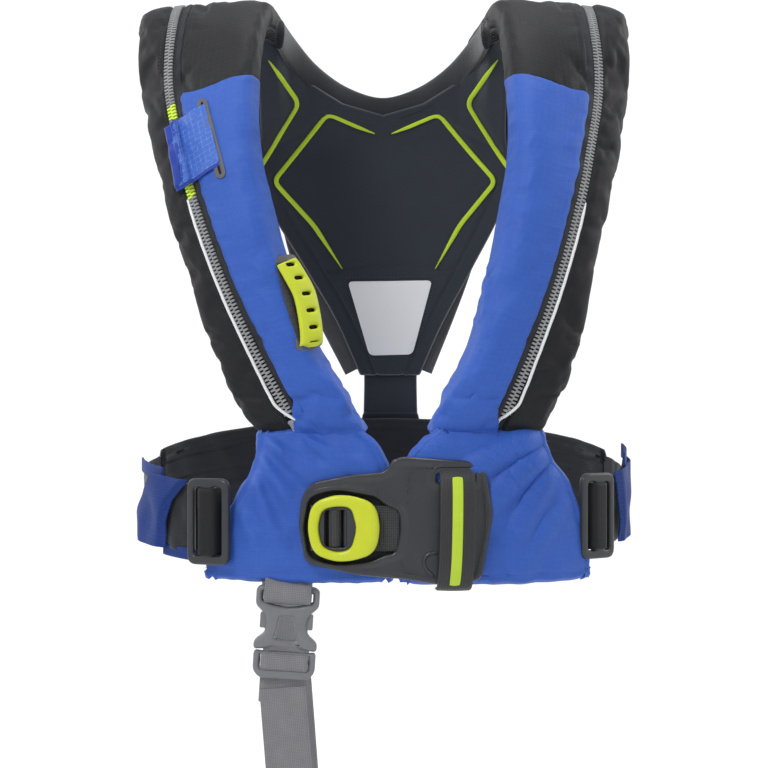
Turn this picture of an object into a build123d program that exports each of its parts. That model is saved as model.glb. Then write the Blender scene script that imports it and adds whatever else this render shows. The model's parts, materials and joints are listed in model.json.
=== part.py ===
from build123d import *
import math
import os

# Inflatable life jacket, in millimetres.  +Z is up, the front faces -Y, and the origin is the
# point between the wearer's shoulders at the height where the jacket bears on them.

# --- driving dimensions ---------------------------------------------------------------------

FABRIC = 1.6                # thickness of a cover panel
SIDES = {"left": -1, "right": 1}    # as seen from the front

# Horseshoe cover: stations from the bottom of the front lobe, over the shoulder, to the middle
# of the back of the neck.  Each has the neck-side edge, the arm-side edge and the thickness.
STATIONS = [
    ((29, -140, -350), (121, -122, -347), 26),
    ((42, -147, -324), (136, -122, -322), 36),
    ((66, -151, -275), (154, -116, -272), 43),
    ((87, -149, -214), (170, -104, -212), 45),
    ((101, -140, -155), (187, -86, -153), 43),
    ((109, -126, -111), (199, -66, -108), 40),
    ((110, -104, -65), (211, -40, -57), 37),
    ((105, -62, -12), (218, -20, -8), 34),
    ((99, -4, 24), (219, 16, 15), 32),
    ((86, 46, 16), (206, 52, -9), 28),
    ((63, 82, -11), (160, 90, -67), 26),
    ((34, 101, -33), (92, 114, -112), 26),
    ((0, 108, -42), (0, 124, -138), 26),
]
BACK_MIDDLE = len(STATIONS) - 1
BLUE_TOP = 6.4              # station where the front panel meets the shoulder panel
SHOULDER_END = 9.5          # station where the shoulder panel meets the neck cover
ROUNDNESS = 0.55            # 1 is an ellipse, smaller is boxier
LEAN = 14                   # sideways set of the closed front at the belt

# Zip centre line: share of the way from the neck-side edge to the arm-side edge, by station.
ZIP_SHARE = [0.56, 0.53, 0.54, 0.59, 0.63, 0.65, 0.69, 0.70, 0.70, 0.76, 0.84, 0.88, 0.88]
ZIP_WIDTH = 7
ZIP_HEIGHT = 3

BELT_WIDTH, BELT_DEPTH = 212, 128   # half axes of the belt's oval, seen from above
BELT_Y = -28
BELT_HEIGHT = 58
BELT_FRONT_Z = -431
BELT_BACK_Z = -386
WEBBING = 2.4
CROTCH_WIDTH = 40

PLATE_RADIUS = 420          # bend of the buckle plates around the waist
PLATE_X, PLATE_Y = 11, -165
PLATE_THICK = 5
LEVER_Z = -431
PIN_RADIUS = 2.0
RUNNING_CLEARANCE = 0.06

BUCKLE_X, BUCKLE_Y, BUCKLE_Z = -82, -134, -510
BUCKLE_TILT = 3.5           # degrees, the hanging crotch buckle leans


# --- shared geometry ------------------------------------------------------------------------

def mix(a, b, t):
    return a + (b - a) * t


def lean(z):
    """Sideways shift of the closed front, growing towards the belt."""
    return LEAN * min(1, max(0, -z / 360)) ** 1.6


def interpolate(values, s, mirror=1):
    """Smooth value at fractional station s; past the middle of the back it repeats, mirrored."""
    last = len(values) - 1

    def at(i):
        return mirror * values[2 * last - i] if i > last else values[max(0, i)]
    i = min(int(s), last - 1)
    t = s - i
    p0, p1, p2, p3 = at(i - 1), at(i), at(i + 1), at(i + 2)
    return 0.5 * (2 * p1 + (p2 - p0) * t + (2 * p0 - 5 * p1 + 4 * p2 - p3) * t ** 2
                  + (3 * p1 - p0 - 3 * p2 + p3) * t ** 3)


def edges_at(side, s):
    """Neck-side and arm-side edge points of the cover at station s."""
    if s > BACK_MIDDLE:
        side, s = -side, 2 * BACK_MIDDLE - s
    points = []
    for edge in (0, 1):
        x, y, z = [interpolate([st[edge][k] for st in STATIONS], s, -1 if k == 0 else 1)
                   for k in range(3)]
        points.append(Vector(side * x + (lean(z) if s < 8 else 0), y, z))
    return points


def cover_frame(side, s):
    """Centre, lateral direction, outward normal, half width and half thickness at station s."""
    inner, outer = edges_at(side, s)
    before = edges_at(side, max(0, s - 0.2))
    after = edges_at(side, s + 0.2)
    along = (after[0] + after[1]) * 0.5 - (before[0] + before[1]) * 0.5
    across = outer - inner
    lateral = across.normalized()
    normal = across.cross(along).normalized() * side
    thickness = interpolate([st[2] for st in STATIONS], s)
    return (inner + outer) * 0.5, lateral, normal, across.length / 2, thickness / 2


def cover_point(side, s, angle, inset=0.0):
    """Point of the cover's skin: 180 degrees is the neck edge, 90 the outside, 0 the arm edge."""
    centre, lateral, normal, half_width, half_thick = cover_frame(side, s)
    c, n = math.cos(math.radians(angle)), math.sin(math.radians(angle))
    a = math.copysign(abs(c) ** ROUNDNESS, c) * (half_width - inset)
    b = math.copysign(abs(n) ** ROUNDNESS, n) * (half_thick - inset)
    return centre + lateral * a + normal * b


def angle_of(share):
    """Angle on the outside of the cover at a share of the way from neck edge to arm edge."""
    c = 2 * share - 1
    return math.degrees(math.acos(math.copysign(abs(c) ** (1 / ROUNDNESS), c)))


def loft_rings(rings):
    """Closed solid through a list of closed rings of points."""
    wires = [Wire.make_polygon([Vector(*p) for p in ring], close=True) for ring in rings]
    return Solid.make_loft(wires, ruled=True)


def spread(start, stop, count):
    return [mix(start, stop, i / (count - 1)) for i in range(count)]


def stations_between(start, stop, step=0.5):
    return spread(start, stop, max(2, round((stop - start) / step) + 1))


def skin_panel(side, start, stop, angle_from, angle_to, inset=0.0, thick=FABRIC, steps=9):
    """Fabric panel on the cover's skin between two stations and two angles."""
    rings = []
    for s in stations_between(start, stop):
        first = angle_from(s) if callable(angle_from) else angle_from
        last = angle_to(s) if callable(angle_to) else angle_to
        angles = spread(first, last, steps)
        outside = [cover_point(side, s, a, inset) for a in angles]
        inside = [cover_point(side, s, a, inset + thick) for a in reversed(angles)]
        rings.append(outside + inside)
    return loft_rings(rings)


def row_solid(rows):
    """Solid through rows of (front points, back points), each row in one plane."""
    return loft_rings([front + back[::-1] for front, back in rows])


def save(shape, name):
    export_step(shape, f"parts/{name}.step")


# --- horseshoe cover, bladder and zips -----------------------------------------------------

def zip_angle(s):
    return angle_of(interpolate(ZIP_SHARE, s))


def degrees_for(side, s, length):
    """Angle on the skin that spans a length in millimetres beside the zip."""
    base = zip_angle(s)
    step = 2.0
    span = (cover_point(side, s, base) - cover_point(side, s, base + step)).length
    return step * length / max(span, 0.05)


def make_cover():
    half_zip = ZIP_WIDTH / 2 + 1.3
    piping = []
    for name, side in SIDES.items():
        def neck_side_of_zip(s):
            return zip_angle(s) + degrees_for(side, s, half_zip)

        def arm_side_of_zip(s):
            return zip_angle(s) - degrees_for(side, s, half_zip)

        seam = 0.01
        save(skin_panel(side, 0, BLUE_TOP - seam, 212, neck_side_of_zip), f"front_panel_{name}")
        save(skin_panel(side, BLUE_TOP + seam, SHOULDER_END - seam, 212, neck_side_of_zip),
             f"shoulder_panel_{name}")
        save(skin_panel(side, 0, SHOULDER_END - seam, arm_side_of_zip, -32), f"side_gusset_{name}")
        save(skin_panel(side, 0, SHOULDER_END - seam, -34, -146), f"backing_panel_{name}")
        piping.append(make_piping(side))
    save(Compound(children=piping), "reflective_piping")
    save(make_neck_cover(half_zip), "neck_cover")
    save(make_zip(0.3), "burst_zip")
    save(make_bladder(), "bladder")


def full_round(start, make_ring):
    """Rings from one side's station, round the middle of the back, to the other side's."""
    rings = [make_ring(-1, s) for s in stations_between(start, BACK_MIDDLE)]
    rings += [make_ring(1, s) for s in reversed(stations_between(start, BACK_MIDDLE)[:-1])]
    return rings


def make_neck_cover(half_zip):
    def ring(side, s):
        start = zip_angle(s) + degrees_for(side, s, half_zip)
        end = zip_angle(s) - degrees_for(side, s, half_zip)
        angles = spread(start, 360 + end, 19)
        outside = [cover_point(side, s, a) for a in angles]
        inside = [cover_point(side, s, a, FABRIC) for a in reversed(angles)]
        return outside + inside
    return loft_rings(full_round(SHOULDER_END + 0.01, ring))


def make_zip(start):
    """One zip all the way round, from the foot of one lobe to the foot of the other."""
    def ring(side, s):
        middle = zip_angle(s)
        reach = degrees_for(side, s, ZIP_WIDTH / 2)
        top = [cover_point(side, s, middle + reach * k, -ZIP_HEIGHT / 2) for k in (1, 0, -1)]
        bottom = [cover_point(side, s, middle + reach * k, ZIP_HEIGHT / 2) for k in (-1, 0, 1)]
        return top + bottom
    return loft_rings(full_round(start, ring))


def make_piping(side):
    """Bead along the seam on the arm side of the zip, laid on the skin."""
    rings = []
    for s in stations_between(0.5, 4.4):
        away = mix(5, 11, min(1, s / 2))
        middle = zip_angle(s) - degrees_for(side, s, away)
        reach = degrees_for(side, s, 1.6)
        top = [cover_point(side, s, middle + reach * k, -1.9) for k in (0.6, -0.6)]
        bottom = [cover_point(side, s, middle + reach * k, -0.15) for k in (-1, 1)]
        rings.append(top + bottom)
    return loft_rings(rings)


def make_bladder():
    """Folded bladder, full width over the shoulders and narrower beside the gear pockets."""
    inset = FABRIC + ZIP_HEIGHT / 2 + 0.8
    packed = 0.45

    def ring(side, s):
        centre, lateral, normal, half_width, half_thick = cover_frame(side, s)
        room = min(1, max(0, (s - 4.0) / 0.8))
        neck_end = mix(-0.02, -0.9, room) * (half_width - 6)
        arm_end = 0.86 * (half_width - 4)
        half = (half_thick - inset - 1) * mix(0.9, packed + 0.35, room)
        corners = [(neck_end, -0.7), (neck_end, 0.7), (mix(neck_end, arm_end, 0.15), 1),
                   (mix(neck_end, arm_end, 0.8), 1), (arm_end, 0.45), (arm_end, -0.45),
                   (mix(neck_end, arm_end, 0.8), -1), (mix(neck_end, arm_end, 0.15), -1)]
        return [centre + lateral * a + normal * (b * half) for a, b in corners]
    return loft_rings(full_round(0.4, ring))


# --- gear inside the lobes, burst tab and pull handle --------------------------------------

def lobe_point(side, s, share, depth):
    """Point in the lobe: share of the way across, depth below its outside."""
    centre, lateral, normal, half_width, half_thick = cover_frame(side, s)
    return centre + lateral * (2 * share - 1) * half_width + normal * (half_thick - depth)


def lobe_plane(side, s, share, depth=0.0, reach=0.8):
    """Plane at a place in the lobe: local X across, local Y inwards, local Z up the lobe."""
    lateral = cover_frame(side, s)[1]
    up = lobe_point(side, s + reach, share, depth) - lobe_point(side, s - reach, share, depth)
    place = lobe_point(side, s, share, depth)
    return Plane(origin=place, x_dir=lateral * side, z_dir=up.normalized())


CYLINDER_RADIUS = 14.5
CYLINDER_LENGTH = 92
CYLINDER_STATION = 3.0
GEAR_SHARE = 0.27


def make_inflation_gear():
    """Firing head, jerk lever and gas cylinder in the left lobe."""
    gear = lobe_plane(-1, CYLINDER_STATION, GEAR_SHARE, 22).location
    neck = Cylinder(7, 12, align=(Align.CENTER, Align.CENTER, Align.MIN))
    bottle = Pos(0, 0, 11.9) * Cylinder(CYLINDER_RADIUS, CYLINDER_LENGTH - 12,
                                        align=(Align.CENTER, Align.CENTER, Align.MIN))
    bottle = fillet((neck + bottle).edges().filter_by(GeomType.CIRCLE).group_by(Axis.Z)[-1], 9)
    save(gear * Pos(0, 0, -38) * bottle, "gas_cylinder")

    body = Pos(0, 0, -49.5) * Box(26, 24, 30)
    body = fillet(body.edges().filter_by(Axis.Z), 6)
    body -= Pos(0, 0, -34) * Cylinder(7.06, 10)
    slot = Pos(13, 0, -50) * Box(11, 5.4, 20)
    save(gear * (body - slot), "firing_head")

    lever = Pos(11.6, 0, -50) * Box(3.2, 4.6, 12)
    lever -= Pos(11.6, 0, -47) * Rot(90, 0, 0) * Cylinder(1.06, 10)
    save(gear * lever, "jerk_lever")
    pin = Pos(11.6, 0, -47) * Rot(90, 0, 0) * Cylinder(1.0, 5.3)
    save(gear * pin, "jerk_lever_pin")


def make_right_gear():
    """Oral tube with its cap and whistle, the light and the folded spray hood."""
    gear = lobe_plane(1, CYLINDER_STATION, GEAR_SHARE, 22).location
    tube = Pos(-4, 4, -10) * (Cylinder(7, 84) - Cylinder(5, 84))
    save(gear * tube, "oral_tube")
    cap = Cylinder(9, 14, align=(Align.CENTER, Align.CENTER, Align.MIN))
    cap -= Cylinder(7.06, 11, align=(Align.CENTER, Align.CENTER, Align.MIN))
    save(gear * Pos(-4, 4, 23) * cap, "oral_tube_cap")
    whistle = Pos(1, -10.5, 12) * Box(15, 8, 40)
    whistle = fillet(whistle.edges().filter_by(Axis.Z), 3)
    whistle -= Pos(1, -10.5, 24) * Box(9, 4, 26)
    whistle -= Pos(1, -14.5, 8) * Box(9, 4, 3)
    save(gear * whistle, "whistle")

    housing = fillet(Box(18, 6, 26).edges().filter_by(Axis.Y), 3)
    save(gear * Pos(1, -11.5, -33) * housing, "light_battery")
    lens = Pos(1, -11.5, -16) * Cylinder(3.0, 7.4)
    save(gear * lens, "light_lens")
    hood = fillet(Box(24, 18, 30).edges().filter_by(Axis.Z), 5)
    save(lobe_plane(1, 1.45, 0.3, 19).location * hood, "spray_hood")


TAB_STATION_LOW, TAB_STATION_HIGH = 4.25, 5.62
TAB_NECK_SIDE, TAB_ARM_SIDE = 0.29, 0.76    # shares of the way across the lobe


def make_burst_tab():
    """Flap over the weak zip stretch, hinged outside; returns the film round its slot."""
    lift = ZIP_HEIGHT / 2 + 0.9
    rings = []
    for s in stations_between(TAB_STATION_LOW, TAB_STATION_HIGH, 0.34):
        start = angle_of(TAB_NECK_SIDE)
        stop = angle_of(TAB_ARM_SIDE)
        angles = spread(start, stop, 7)
        top = [cover_point(-1, s, a, -lift - 1.6) for a in angles]
        bottom = [cover_point(-1, s, a, -lift) for a in reversed(angles)]
        rings.append(top + bottom)
    save(loft_rings(rings), "burst_tab")

    frame = []
    for s in stations_between(TAB_STATION_LOW - 0.28, TAB_STATION_HIGH + 0.1, 0.34):
        angles = spread(angle_of(TAB_NECK_SIDE - 0.12), angle_of(TAB_NECK_SIDE - 0.02), 3)
        top = [cover_point(-1, s, a, -1.2) for a in angles]
        bottom = [cover_point(-1, s, a, -0.3) for a in reversed(angles)]
        frame.append(top + bottom)
    return loft_rings(frame)


def make_zip_slider():
    """Slider parked below the end of the left zip."""
    plane = lobe_plane(-1, 0.25, 0.55, -4.2, 0.2).location
    body = fillet(Box(10, 3.6, 13).edges().filter_by(Axis.Y), 3)
    puller = Pos(0, -2.6, -8) * Box(5, 1.2, 16)
    save(plane * (body + puller), "zip_slider")


HANDLE_LOW, HANDLE_HIGH = 1.95, 3.02
HANDLE_SHARE, HANDLE_BOW = 0.12, 0.02   # place across the lobe, and bow towards the neck
FINGER_HOLES = 6


def make_pull_handle(slot_film):
    """Moulded manual pull handle with finger holes, held by a patch at each end."""
    def share_at(s):
        along = (s - HANDLE_LOW) / (HANDLE_HIGH - HANDLE_LOW)
        return HANDLE_SHARE - HANDLE_BOW * math.sin(along * math.pi)

    rings = []
    for s in stations_between(HANDLE_LOW, HANDLE_HIGH, 0.22):
        across = [max(0.012, share_at(s) + k) for k in (-0.085, -0.03, 0.04, 0.095)]
        top = [cover_point(-1, s, angle_of(u), -6.5) for u in across]
        bottom = [cover_point(-1, s, angle_of(u), -1.7) for u in reversed(across)]
        rings.append(top + bottom)
    handle = loft_rings(rings)
    for s in spread(HANDLE_LOW + 0.14, HANDLE_HIGH - 0.12, FINGER_HOLES):
        hole = lobe_plane(-1, s, share_at(s) + 0.005).location
        handle -= hole * Rot(90, 0, 0) * slot_cutter(11, 4.6, 40)
    save(handle, "pull_handle")

    patches = [slot_film]
    for start, stop in ((HANDLE_LOW - 0.14, HANDLE_LOW - 0.01), (HANDLE_HIGH + 0.01, HANDLE_HIGH + 0.14)):
        rings = []
        for s in spread(start, stop, 2):
            angles = spread(angle_of(0.06), angle_of(0.30), 4)
            top = [cover_point(-1, s, a, -1.4) for a in angles]
            bottom = [cover_point(-1, s, a, -0.3) for a in reversed(angles)]
            rings.append(top + bottom)
        patches.append(loft_rings(rings))
    save(Compound(children=patches), "weld_patches")

    rings = []
    for s in stations_between(HANDLE_LOW + 0.02, HANDLE_HIGH - 0.02, 0.25):
        angles = spread(angle_of(0.07), angle_of(0.27), 4)
        top = [cover_point(-1, s, a, -1.0) for a in angles]
        bottom = [cover_point(-1, s, a, -0.3) for a in reversed(angles)]
        rings.append(top + bottom)
    save(loft_rings(rings), "handle_grip_strip")


def slot_cutter(length, width, depth):
    """Round-ended slot cutter along local Z."""
    return extrude(SlotOverall(length, width), depth / 2, both=True)


# --- yoke, collar and back strap ------------------------------------------------------------

# Yoke rows from the collar down to the back strap: height, half width, middle depth, and how far
# the sides come forward.
YOKE_ROWS = [
    (-50, 92, 89, 34),
    (-80, 112, 93, 32),
    (-115, 118, 96, 26),
    (-150, 104, 98, 15),
    (-200, 76, 100, 8),
    (-250, 50, 101, 3),
    (-300, 28, 102, 1),
]
YOKE_THICK = 3.5


def yoke_row(z, half, middle, forward, thick, x_from=-1.0, x_to=1.0, lift=0.0):
    front, back = [], []
    for k in spread(x_from, x_to, 9):
        y = middle - forward * k * k
        front.append(Vector(k * half, y - lift - thick, z))
        back.append(Vector(k * half, y - lift, z))
    return front, back


def yoke_shape(z):
    """Half width, middle depth and forward curve of the yoke at a height."""
    for row, lower in zip(YOKE_ROWS, YOKE_ROWS[1:]):
        if lower[0] <= z <= row[0]:
            t = (z - row[0]) / (lower[0] - row[0])
            return [mix(row[k], lower[k], t) for k in (1, 2, 3)]
    return YOKE_ROWS[0][1:]


def make_yoke():
    save(row_solid([yoke_row(*row, YOKE_THICK) for row in YOKE_ROWS]), "back_yoke")

    patch_rows = []
    for z, half_patch in ((-216, 39), (-250, 29), (-281, 20)):
        half, middle, forward = yoke_shape(z)
        patch_rows.append(yoke_row(z, half, middle, forward, 0.5, (6 - half_patch) / half,
                                   (6 + half_patch) / half, YOKE_THICK + 0.3))
    save(row_solid(patch_rows), "reflective_patch")

    collar = []
    path = [((-93, 0, 20), (-94, -6, -6)), ((-83, 30, 8), (-87, 26, -17)),
            ((-62, 57, -14), (-70, 52, -36)), ((-34, 76, -32), (-38, 70, -54)),
            ((0, 83, -41), (0, 80, -64))]
    path += [((-a[0], a[1], a[2]), (-b[0], b[1], b[2])) for a, b in reversed(path[:-1])]
    tops = [Vector(*a) for a, b in path]
    bottoms = [Vector(*b) for a, b in path]
    for i, (top, bottom) in enumerate(zip(tops, bottoms)):
        along = tops[min(i + 1, len(tops) - 1)] - tops[max(i - 1, 0)]
        down = (bottom - top)
        out = along.cross(down).normalized() * 3.5
        middle = (top + bottom) * 0.5
        collar.append([top, middle - out, bottom, middle + out])
    save(loft_rings(collar), "collar")


def yoke_front(x, z):
    """Depth of the yoke's front at a place."""
    half, middle, forward = yoke_shape(z)
    return middle - forward * (x / half) ** 2 - YOKE_THICK


TRIM_LINE = [(12, -73), (54, -59), (98, -121), (70, -159), (44, -200)]


def make_yoke_trim():
    """Raised bright lines on the yoke, each a short bar from corner to corner."""
    bars = []
    for side in (-1, 1):
        for (x0, z0), (x1, z1) in zip(TRIM_LINE, TRIM_LINE[1:]):
            length = math.hypot(x1 - x0, z1 - z0)
            across_x, across_z = (z0 - z1) / length * 2, (x1 - x0) / length * 2
            rings = []
            for t in spread(0.04, 0.96, 6):
                x, z = mix(x0, x1, t), mix(z0, z1, t)
                y = min(yoke_front(x + k * across_x, z + k * across_z) for k in (-1, 0, 1)) - 0.5
                corners = ((-1, 0.9), (1, 0.9), (1, 0), (-1, 0))
                rings.append([Vector(side * (x + k * across_x), y - out, z + k * across_z)
                              for k, out in corners])
            bars.append(loft_rings(rings))
    save(Compound(children=bars), "yoke_trim")


def make_back_strap():
    """Webbing from the yoke down to the rear belt."""
    rows = []
    for z, half, y in ((-301, 26, 104), (-334, 24, 107.2), (-371, 27, 107.2)):
        front = [Vector(-half + 6, y - 3, z), Vector(half + 6, y - 3, z)]
        back = [Vector(-half + 6, y, z), Vector(half + 6, y, z)]
        rows.append((front, back))
    save(row_solid(rows), "back_strap")
    arms = []
    for side in SIDES.values():
        rows = []
        for z, x, y in ((-120, 92, 107.5), (-200, 72, 105.5), (-296, 30, 104.5)):
            front = [Vector(side * (x - 12), y - 2.4, z), Vector(side * (x + 12), y - 2.4, z)]
            back = [Vector(side * (x - 12), y, z), Vector(side * (x + 12), y, z)]
            rows.append((front, back))
        arms.append(row_solid(rows))
    save(Compound(children=arms), "yoke_webbing")


# --- belt -----------------------------------------------------------------------------------

def belt_point(bearing, out=0.0):
    """Point of the belt's oval: bearing 0 is the front, 90 the right side, 180 the back."""
    b = math.radians(bearing)
    x = (BELT_WIDTH + out) * math.sin(b)
    y = BELT_Y - (BELT_DEPTH + out) * math.cos(b)
    return x, y


def belt_height_at(bearing):
    """Middle height of the belt: it rises towards the back."""
    back = (1 - math.cos(math.radians(bearing))) / 2
    return mix(BELT_FRONT_Z, BELT_BACK_Z, back ** 1.3)


def belt_band(start, stop, height, thick, out=0.0, rise=0.0):
    """Band along the oval between two bearings."""
    rings = []
    for bearing in spread(start, stop, max(3, round(abs(stop - start) / 9) + 1)):
        middle = belt_height_at(bearing) + rise
        tall = height(bearing) if callable(height) else height
        x0, y0 = belt_point(bearing, out - thick / 2)
        x1, y1 = belt_point(bearing, out + thick / 2)
        rings.append([(x0, y0, middle - tall / 2), (x1, y1, middle - tall / 2),
                      (x1, y1, middle + tall / 2), (x0, y0, middle + tall / 2)])
    return loft_rings(rings)


# Waist panel rows: height, outer x and centre x, seen from the front.
PANEL_ROWS = {
    "left": [(-356, -108, -12), (-379, -109, 2), (-400, -122, 6), (-426, -136, 7),
             (-450, -145, 7), (-473, -153, 6)],
    "right": [(-356, 133, 38), (-379, 139, 20), (-396, 158, 16), (-426, 167, 15),
              (-450, 171, 15), (-473, 174, 16)],
}
PANEL_THICK = 11


def panel_y(x):
    """Front of the waist panels: the oval, pulled in towards the lobes' ends."""
    share = min(1, abs(x - LEAN) / 205)
    return BELT_Y - (BELT_DEPTH - 3) * math.sqrt(1 - share ** 2)


def make_waist_panels():
    for name, rows in PANEL_ROWS.items():
        solid_rows = []
        for z, outer, centre in rows:
            front, back = [], []
            for x in spread(outer, centre, 8):
                y = panel_y(x)
                front.append(Vector(x, y, z))
                back.append(Vector(x, y + PANEL_THICK, z))
            solid_rows.append((front, back))
        save(row_solid(solid_rows), f"waist_panel_{name}")


ADJUSTER_BEARING = {"left": -43, "right": 58}
ADJUSTER_WIDTH, ADJUSTER_HEIGHT, ADJUSTER_THICK = 42, 74, 6


def adjuster_place(name):
    """Location on the belt: local X forwards along the belt, local Y inwards, local Z up."""
    bearing = ADJUSTER_BEARING[name]
    x, y = belt_point(bearing, 7)
    ahead = belt_point(bearing + 1, 7)
    along = Vector(ahead[0] - x, ahead[1] - y, 0).normalized()
    return Plane(origin=(x, y, belt_height_at(bearing)), x_dir=along, z_dir=(0, 0, 1)).location


def make_adjusters():
    for name in SIDES:
        place = adjuster_place(name)
        frame = Box(ADJUSTER_WIDTH, ADJUSTER_THICK, ADJUSTER_HEIGHT)
        frame = fillet(frame.edges().filter_by(Axis.Y), 6)
        for offset in (-9.6, 9.6):
            frame -= Pos(offset, 0, 0) * Box(9.5, ADJUSTER_THICK + 2, BELT_HEIGHT + 1)
        frame = fillet(frame.edges().group_by(Axis.Y)[0], 1)
        save(place * frame, f"side_adjuster_{name}")

        # Webbing that comes up through one slot, crosses the bar and goes back through the other.
        sketch = Polyline((-11, 4.8), (-8.6, -5.8), (8.6, -5.8), (11, 4.8), (8.6, 4.8), (6.4, -3.4),
                          (-6.4, -3.4), (-8.6, 4.8), close=True)
        loop = extrude(make_face(sketch), (BELT_HEIGHT - 2) / 2, both=True)
        save(place * loop, f"adjuster_webbing_{name}")


def make_belt():
    def rear_height(bearing):
        return mix(60, 84, ((1 - math.cos(math.radians(bearing))) / 2) ** 2)

    save(belt_band(108, 252, rear_height, 7), "rear_belt_pad")
    save(belt_band(-106.5, -49, BELT_HEIGHT, WEBBING), "belt_webbing_left")
    save(belt_band(63, 106.5, BELT_HEIGHT, WEBBING), "belt_webbing_right")
    save(belt_band(-88, -58, 58, 2.0, out=8, rise=2), "pull_tab_left")
    save(belt_band(73, 98, 66, 2.0, out=8, rise=2), "pull_tab_right")


# --- buckle plates, release lever and tether loop -------------------------------------------

def plate_place(arc_x, z, lift=0.0):
    """Location on the plates' front: local X right, local Y into the plate, local Z up."""
    turn = (arc_x - PLATE_X) / PLATE_RADIUS
    radius = PLATE_RADIUS + lift
    x = PLATE_X + radius * math.sin(turn)
    y = PLATE_Y + PLATE_RADIUS - radius * math.cos(turn)
    return Location((x, y, z), (0, 0, math.degrees(turn)))


def bent_plate(outline, corner, thick, lift=0.0):
    """Plate bent around the waist, from a front outline of (x, z) points."""
    flat = make_face(Polyline(*[(x, z) for x, z in outline], close=True))
    flat = fillet(flat.vertices(), corner)
    slab = extrude(Plane.XZ * flat, 40, both=True)
    slab = Pos(0, PLATE_Y, 0) * slab
    outer = Cylinder(PLATE_RADIUS + lift, 400) - Cylinder(PLATE_RADIUS + lift - thick, 400)
    ring = Pos(PLATE_X, PLATE_Y + PLATE_RADIUS, LEVER_Z) * outer
    return slab & ring


PLATE_OUTLINE = [(-72, -424), (-66, -397), (-55, -390), (0, -385), (11, -373), (76, -375), (87, -382),
                 (94, -420), (84, -475), (50, -478), (44, -475), (-22, -470), (-66, -461)]
HINGE_X, HINGE_LIFT = -60, 5.5
LUG_HEIGHTS = (-21.5, 21.5)


def make_buckle():
    """Moulded front plate with the release lever's hinge, the belt's end and the tether slot."""
    plate = bent_plate(PLATE_OUTLINE, 4, PLATE_THICK)
    hinge = plate_place(HINGE_X, LEVER_Z, HINGE_LIFT)
    lugs = Part()
    for z in LUG_HEIGHTS:
        lugs += Pos(0, 2.5, z) * Box(9, 9.6, 7) + Pos(0, 0, z) * Cylinder(4.5, 7)
    plate += hinge * lugs
    plate -= hinge * Cylinder(PIN_RADIUS, 60)
    plate -= plate_place(LOOP_X, LOOP_TOP_SLOT, 0) * Box(32, 30, 11)
    save(plate, "front_plate")
    save(hinge * Cylinder(PIN_RADIUS, 50), "lever_pin")
    save(hinge * make_lever(), "release_lever")

    bar = plate_place(-33, LEVER_Z, 2.8) * fillet(Box(8, 5, 36).edges().filter_by(Axis.Z), 1.5)
    save(bar, "webbing_bar")

    webbing = bent_plate([(-26, -449.5), (12.2, -449.5), (12.2, -412.5), (-26, -412.5)], 1, 1.6, 1.9)
    save(webbing, "belt_end_webbing")


def make_lever():
    """Release lever about its hinge: a rounded ring, a barrel on the pin and a thumb pad."""
    outline = Pos(27, 0) * Ellipse(34, 28.5)
    outline &= Pos(27, 0) * RectangleRounded(62, 56, 14)
    opening = Pos(22, 0) * RectangleRounded(32, 38, 10)
    ring = extrude(outline - opening, 3.4, both=True)
    ring = Rot(90, 0, 0) * ring
    barrel = Cylinder(4.4, 35)
    ring -= Box(12, 12, 70)
    ring += barrel + Pos(5, 0, 0) * Box(6, 6.8, 35)
    pad = Pos(46, -3.4, 0) * Rot(90, 0, 0) * extrude(RectangleRounded(14, 40, 6), 3)
    ring += pad
    return ring - Cylinder(PIN_RADIUS + RUNNING_CLEARANCE, 80)


LOOP_X, LOOP_WIDTH, LOOP_THICK = 60, 30, 2.6
LOOP_TOP_SLOT = -387
# Side view of the loop: distance in front of the plate (negative is into it), and height.
LOOP_PATH = [(-8, -390), (3, -385), (15, -405), (15.5, -452), (3.5, -481.5), (-8, -481.5)]


def make_tether_loop():
    """Webbing loop for a tether hook: out of a slot, over a gap and under the plate's lower edge."""
    def band(lift, width, thick):
        points = [(0, -out - (lift if 0 < i < 5 else 0), z) for i, (out, z) in enumerate(LOOP_PATH)]
        path = FilletPolyline(*points, radius=[3, 14, 24, 6])
        start = Vector(*points[1]) - Vector(*points[0])
        section = Plane(origin=points[0], x_dir=(1, 0, 0), z_dir=start) * Rectangle(width, thick)
        return sweep(section, path=path)
    place = plate_place(LOOP_X, 0, 1)
    save(place * band(0, LOOP_WIDTH, LOOP_THICK), "tether_loop")
    gap = LOOP_THICK / 2 + 0.8
    points = [(0, -out - gap, z) for out, z in LOOP_PATH[1:5]]
    points[0] = (0, -7.5 - gap, -391.5)
    points[3] = (0, -7.0 - gap, -473)
    path = FilletPolyline(*points, radius=[14 + gap, 24 + gap])
    start = Vector(*points[1]) - Vector(*points[0])
    section = Plane(origin=points[0], x_dir=(1, 0, 0), z_dir=start) * Rectangle(9, 0.6)
    save(place * sweep(section, path=path), "tether_stripe")


# --- crotch strap and its side-release buckle -----------------------------------------------

FEMALE_WIDTH, FEMALE_HEIGHT, BUCKLE_THICK = 54, 54, 13
PRONG_X, PRONG_LENGTH = 15.5, 33
MALE_TOP = -26


def buckle_place():
    return Location((BUCKLE_X, BUCKLE_Y, BUCKLE_Z)) * Location((0, 0, 0), (0, BUCKLE_TILT, 0))


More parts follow.
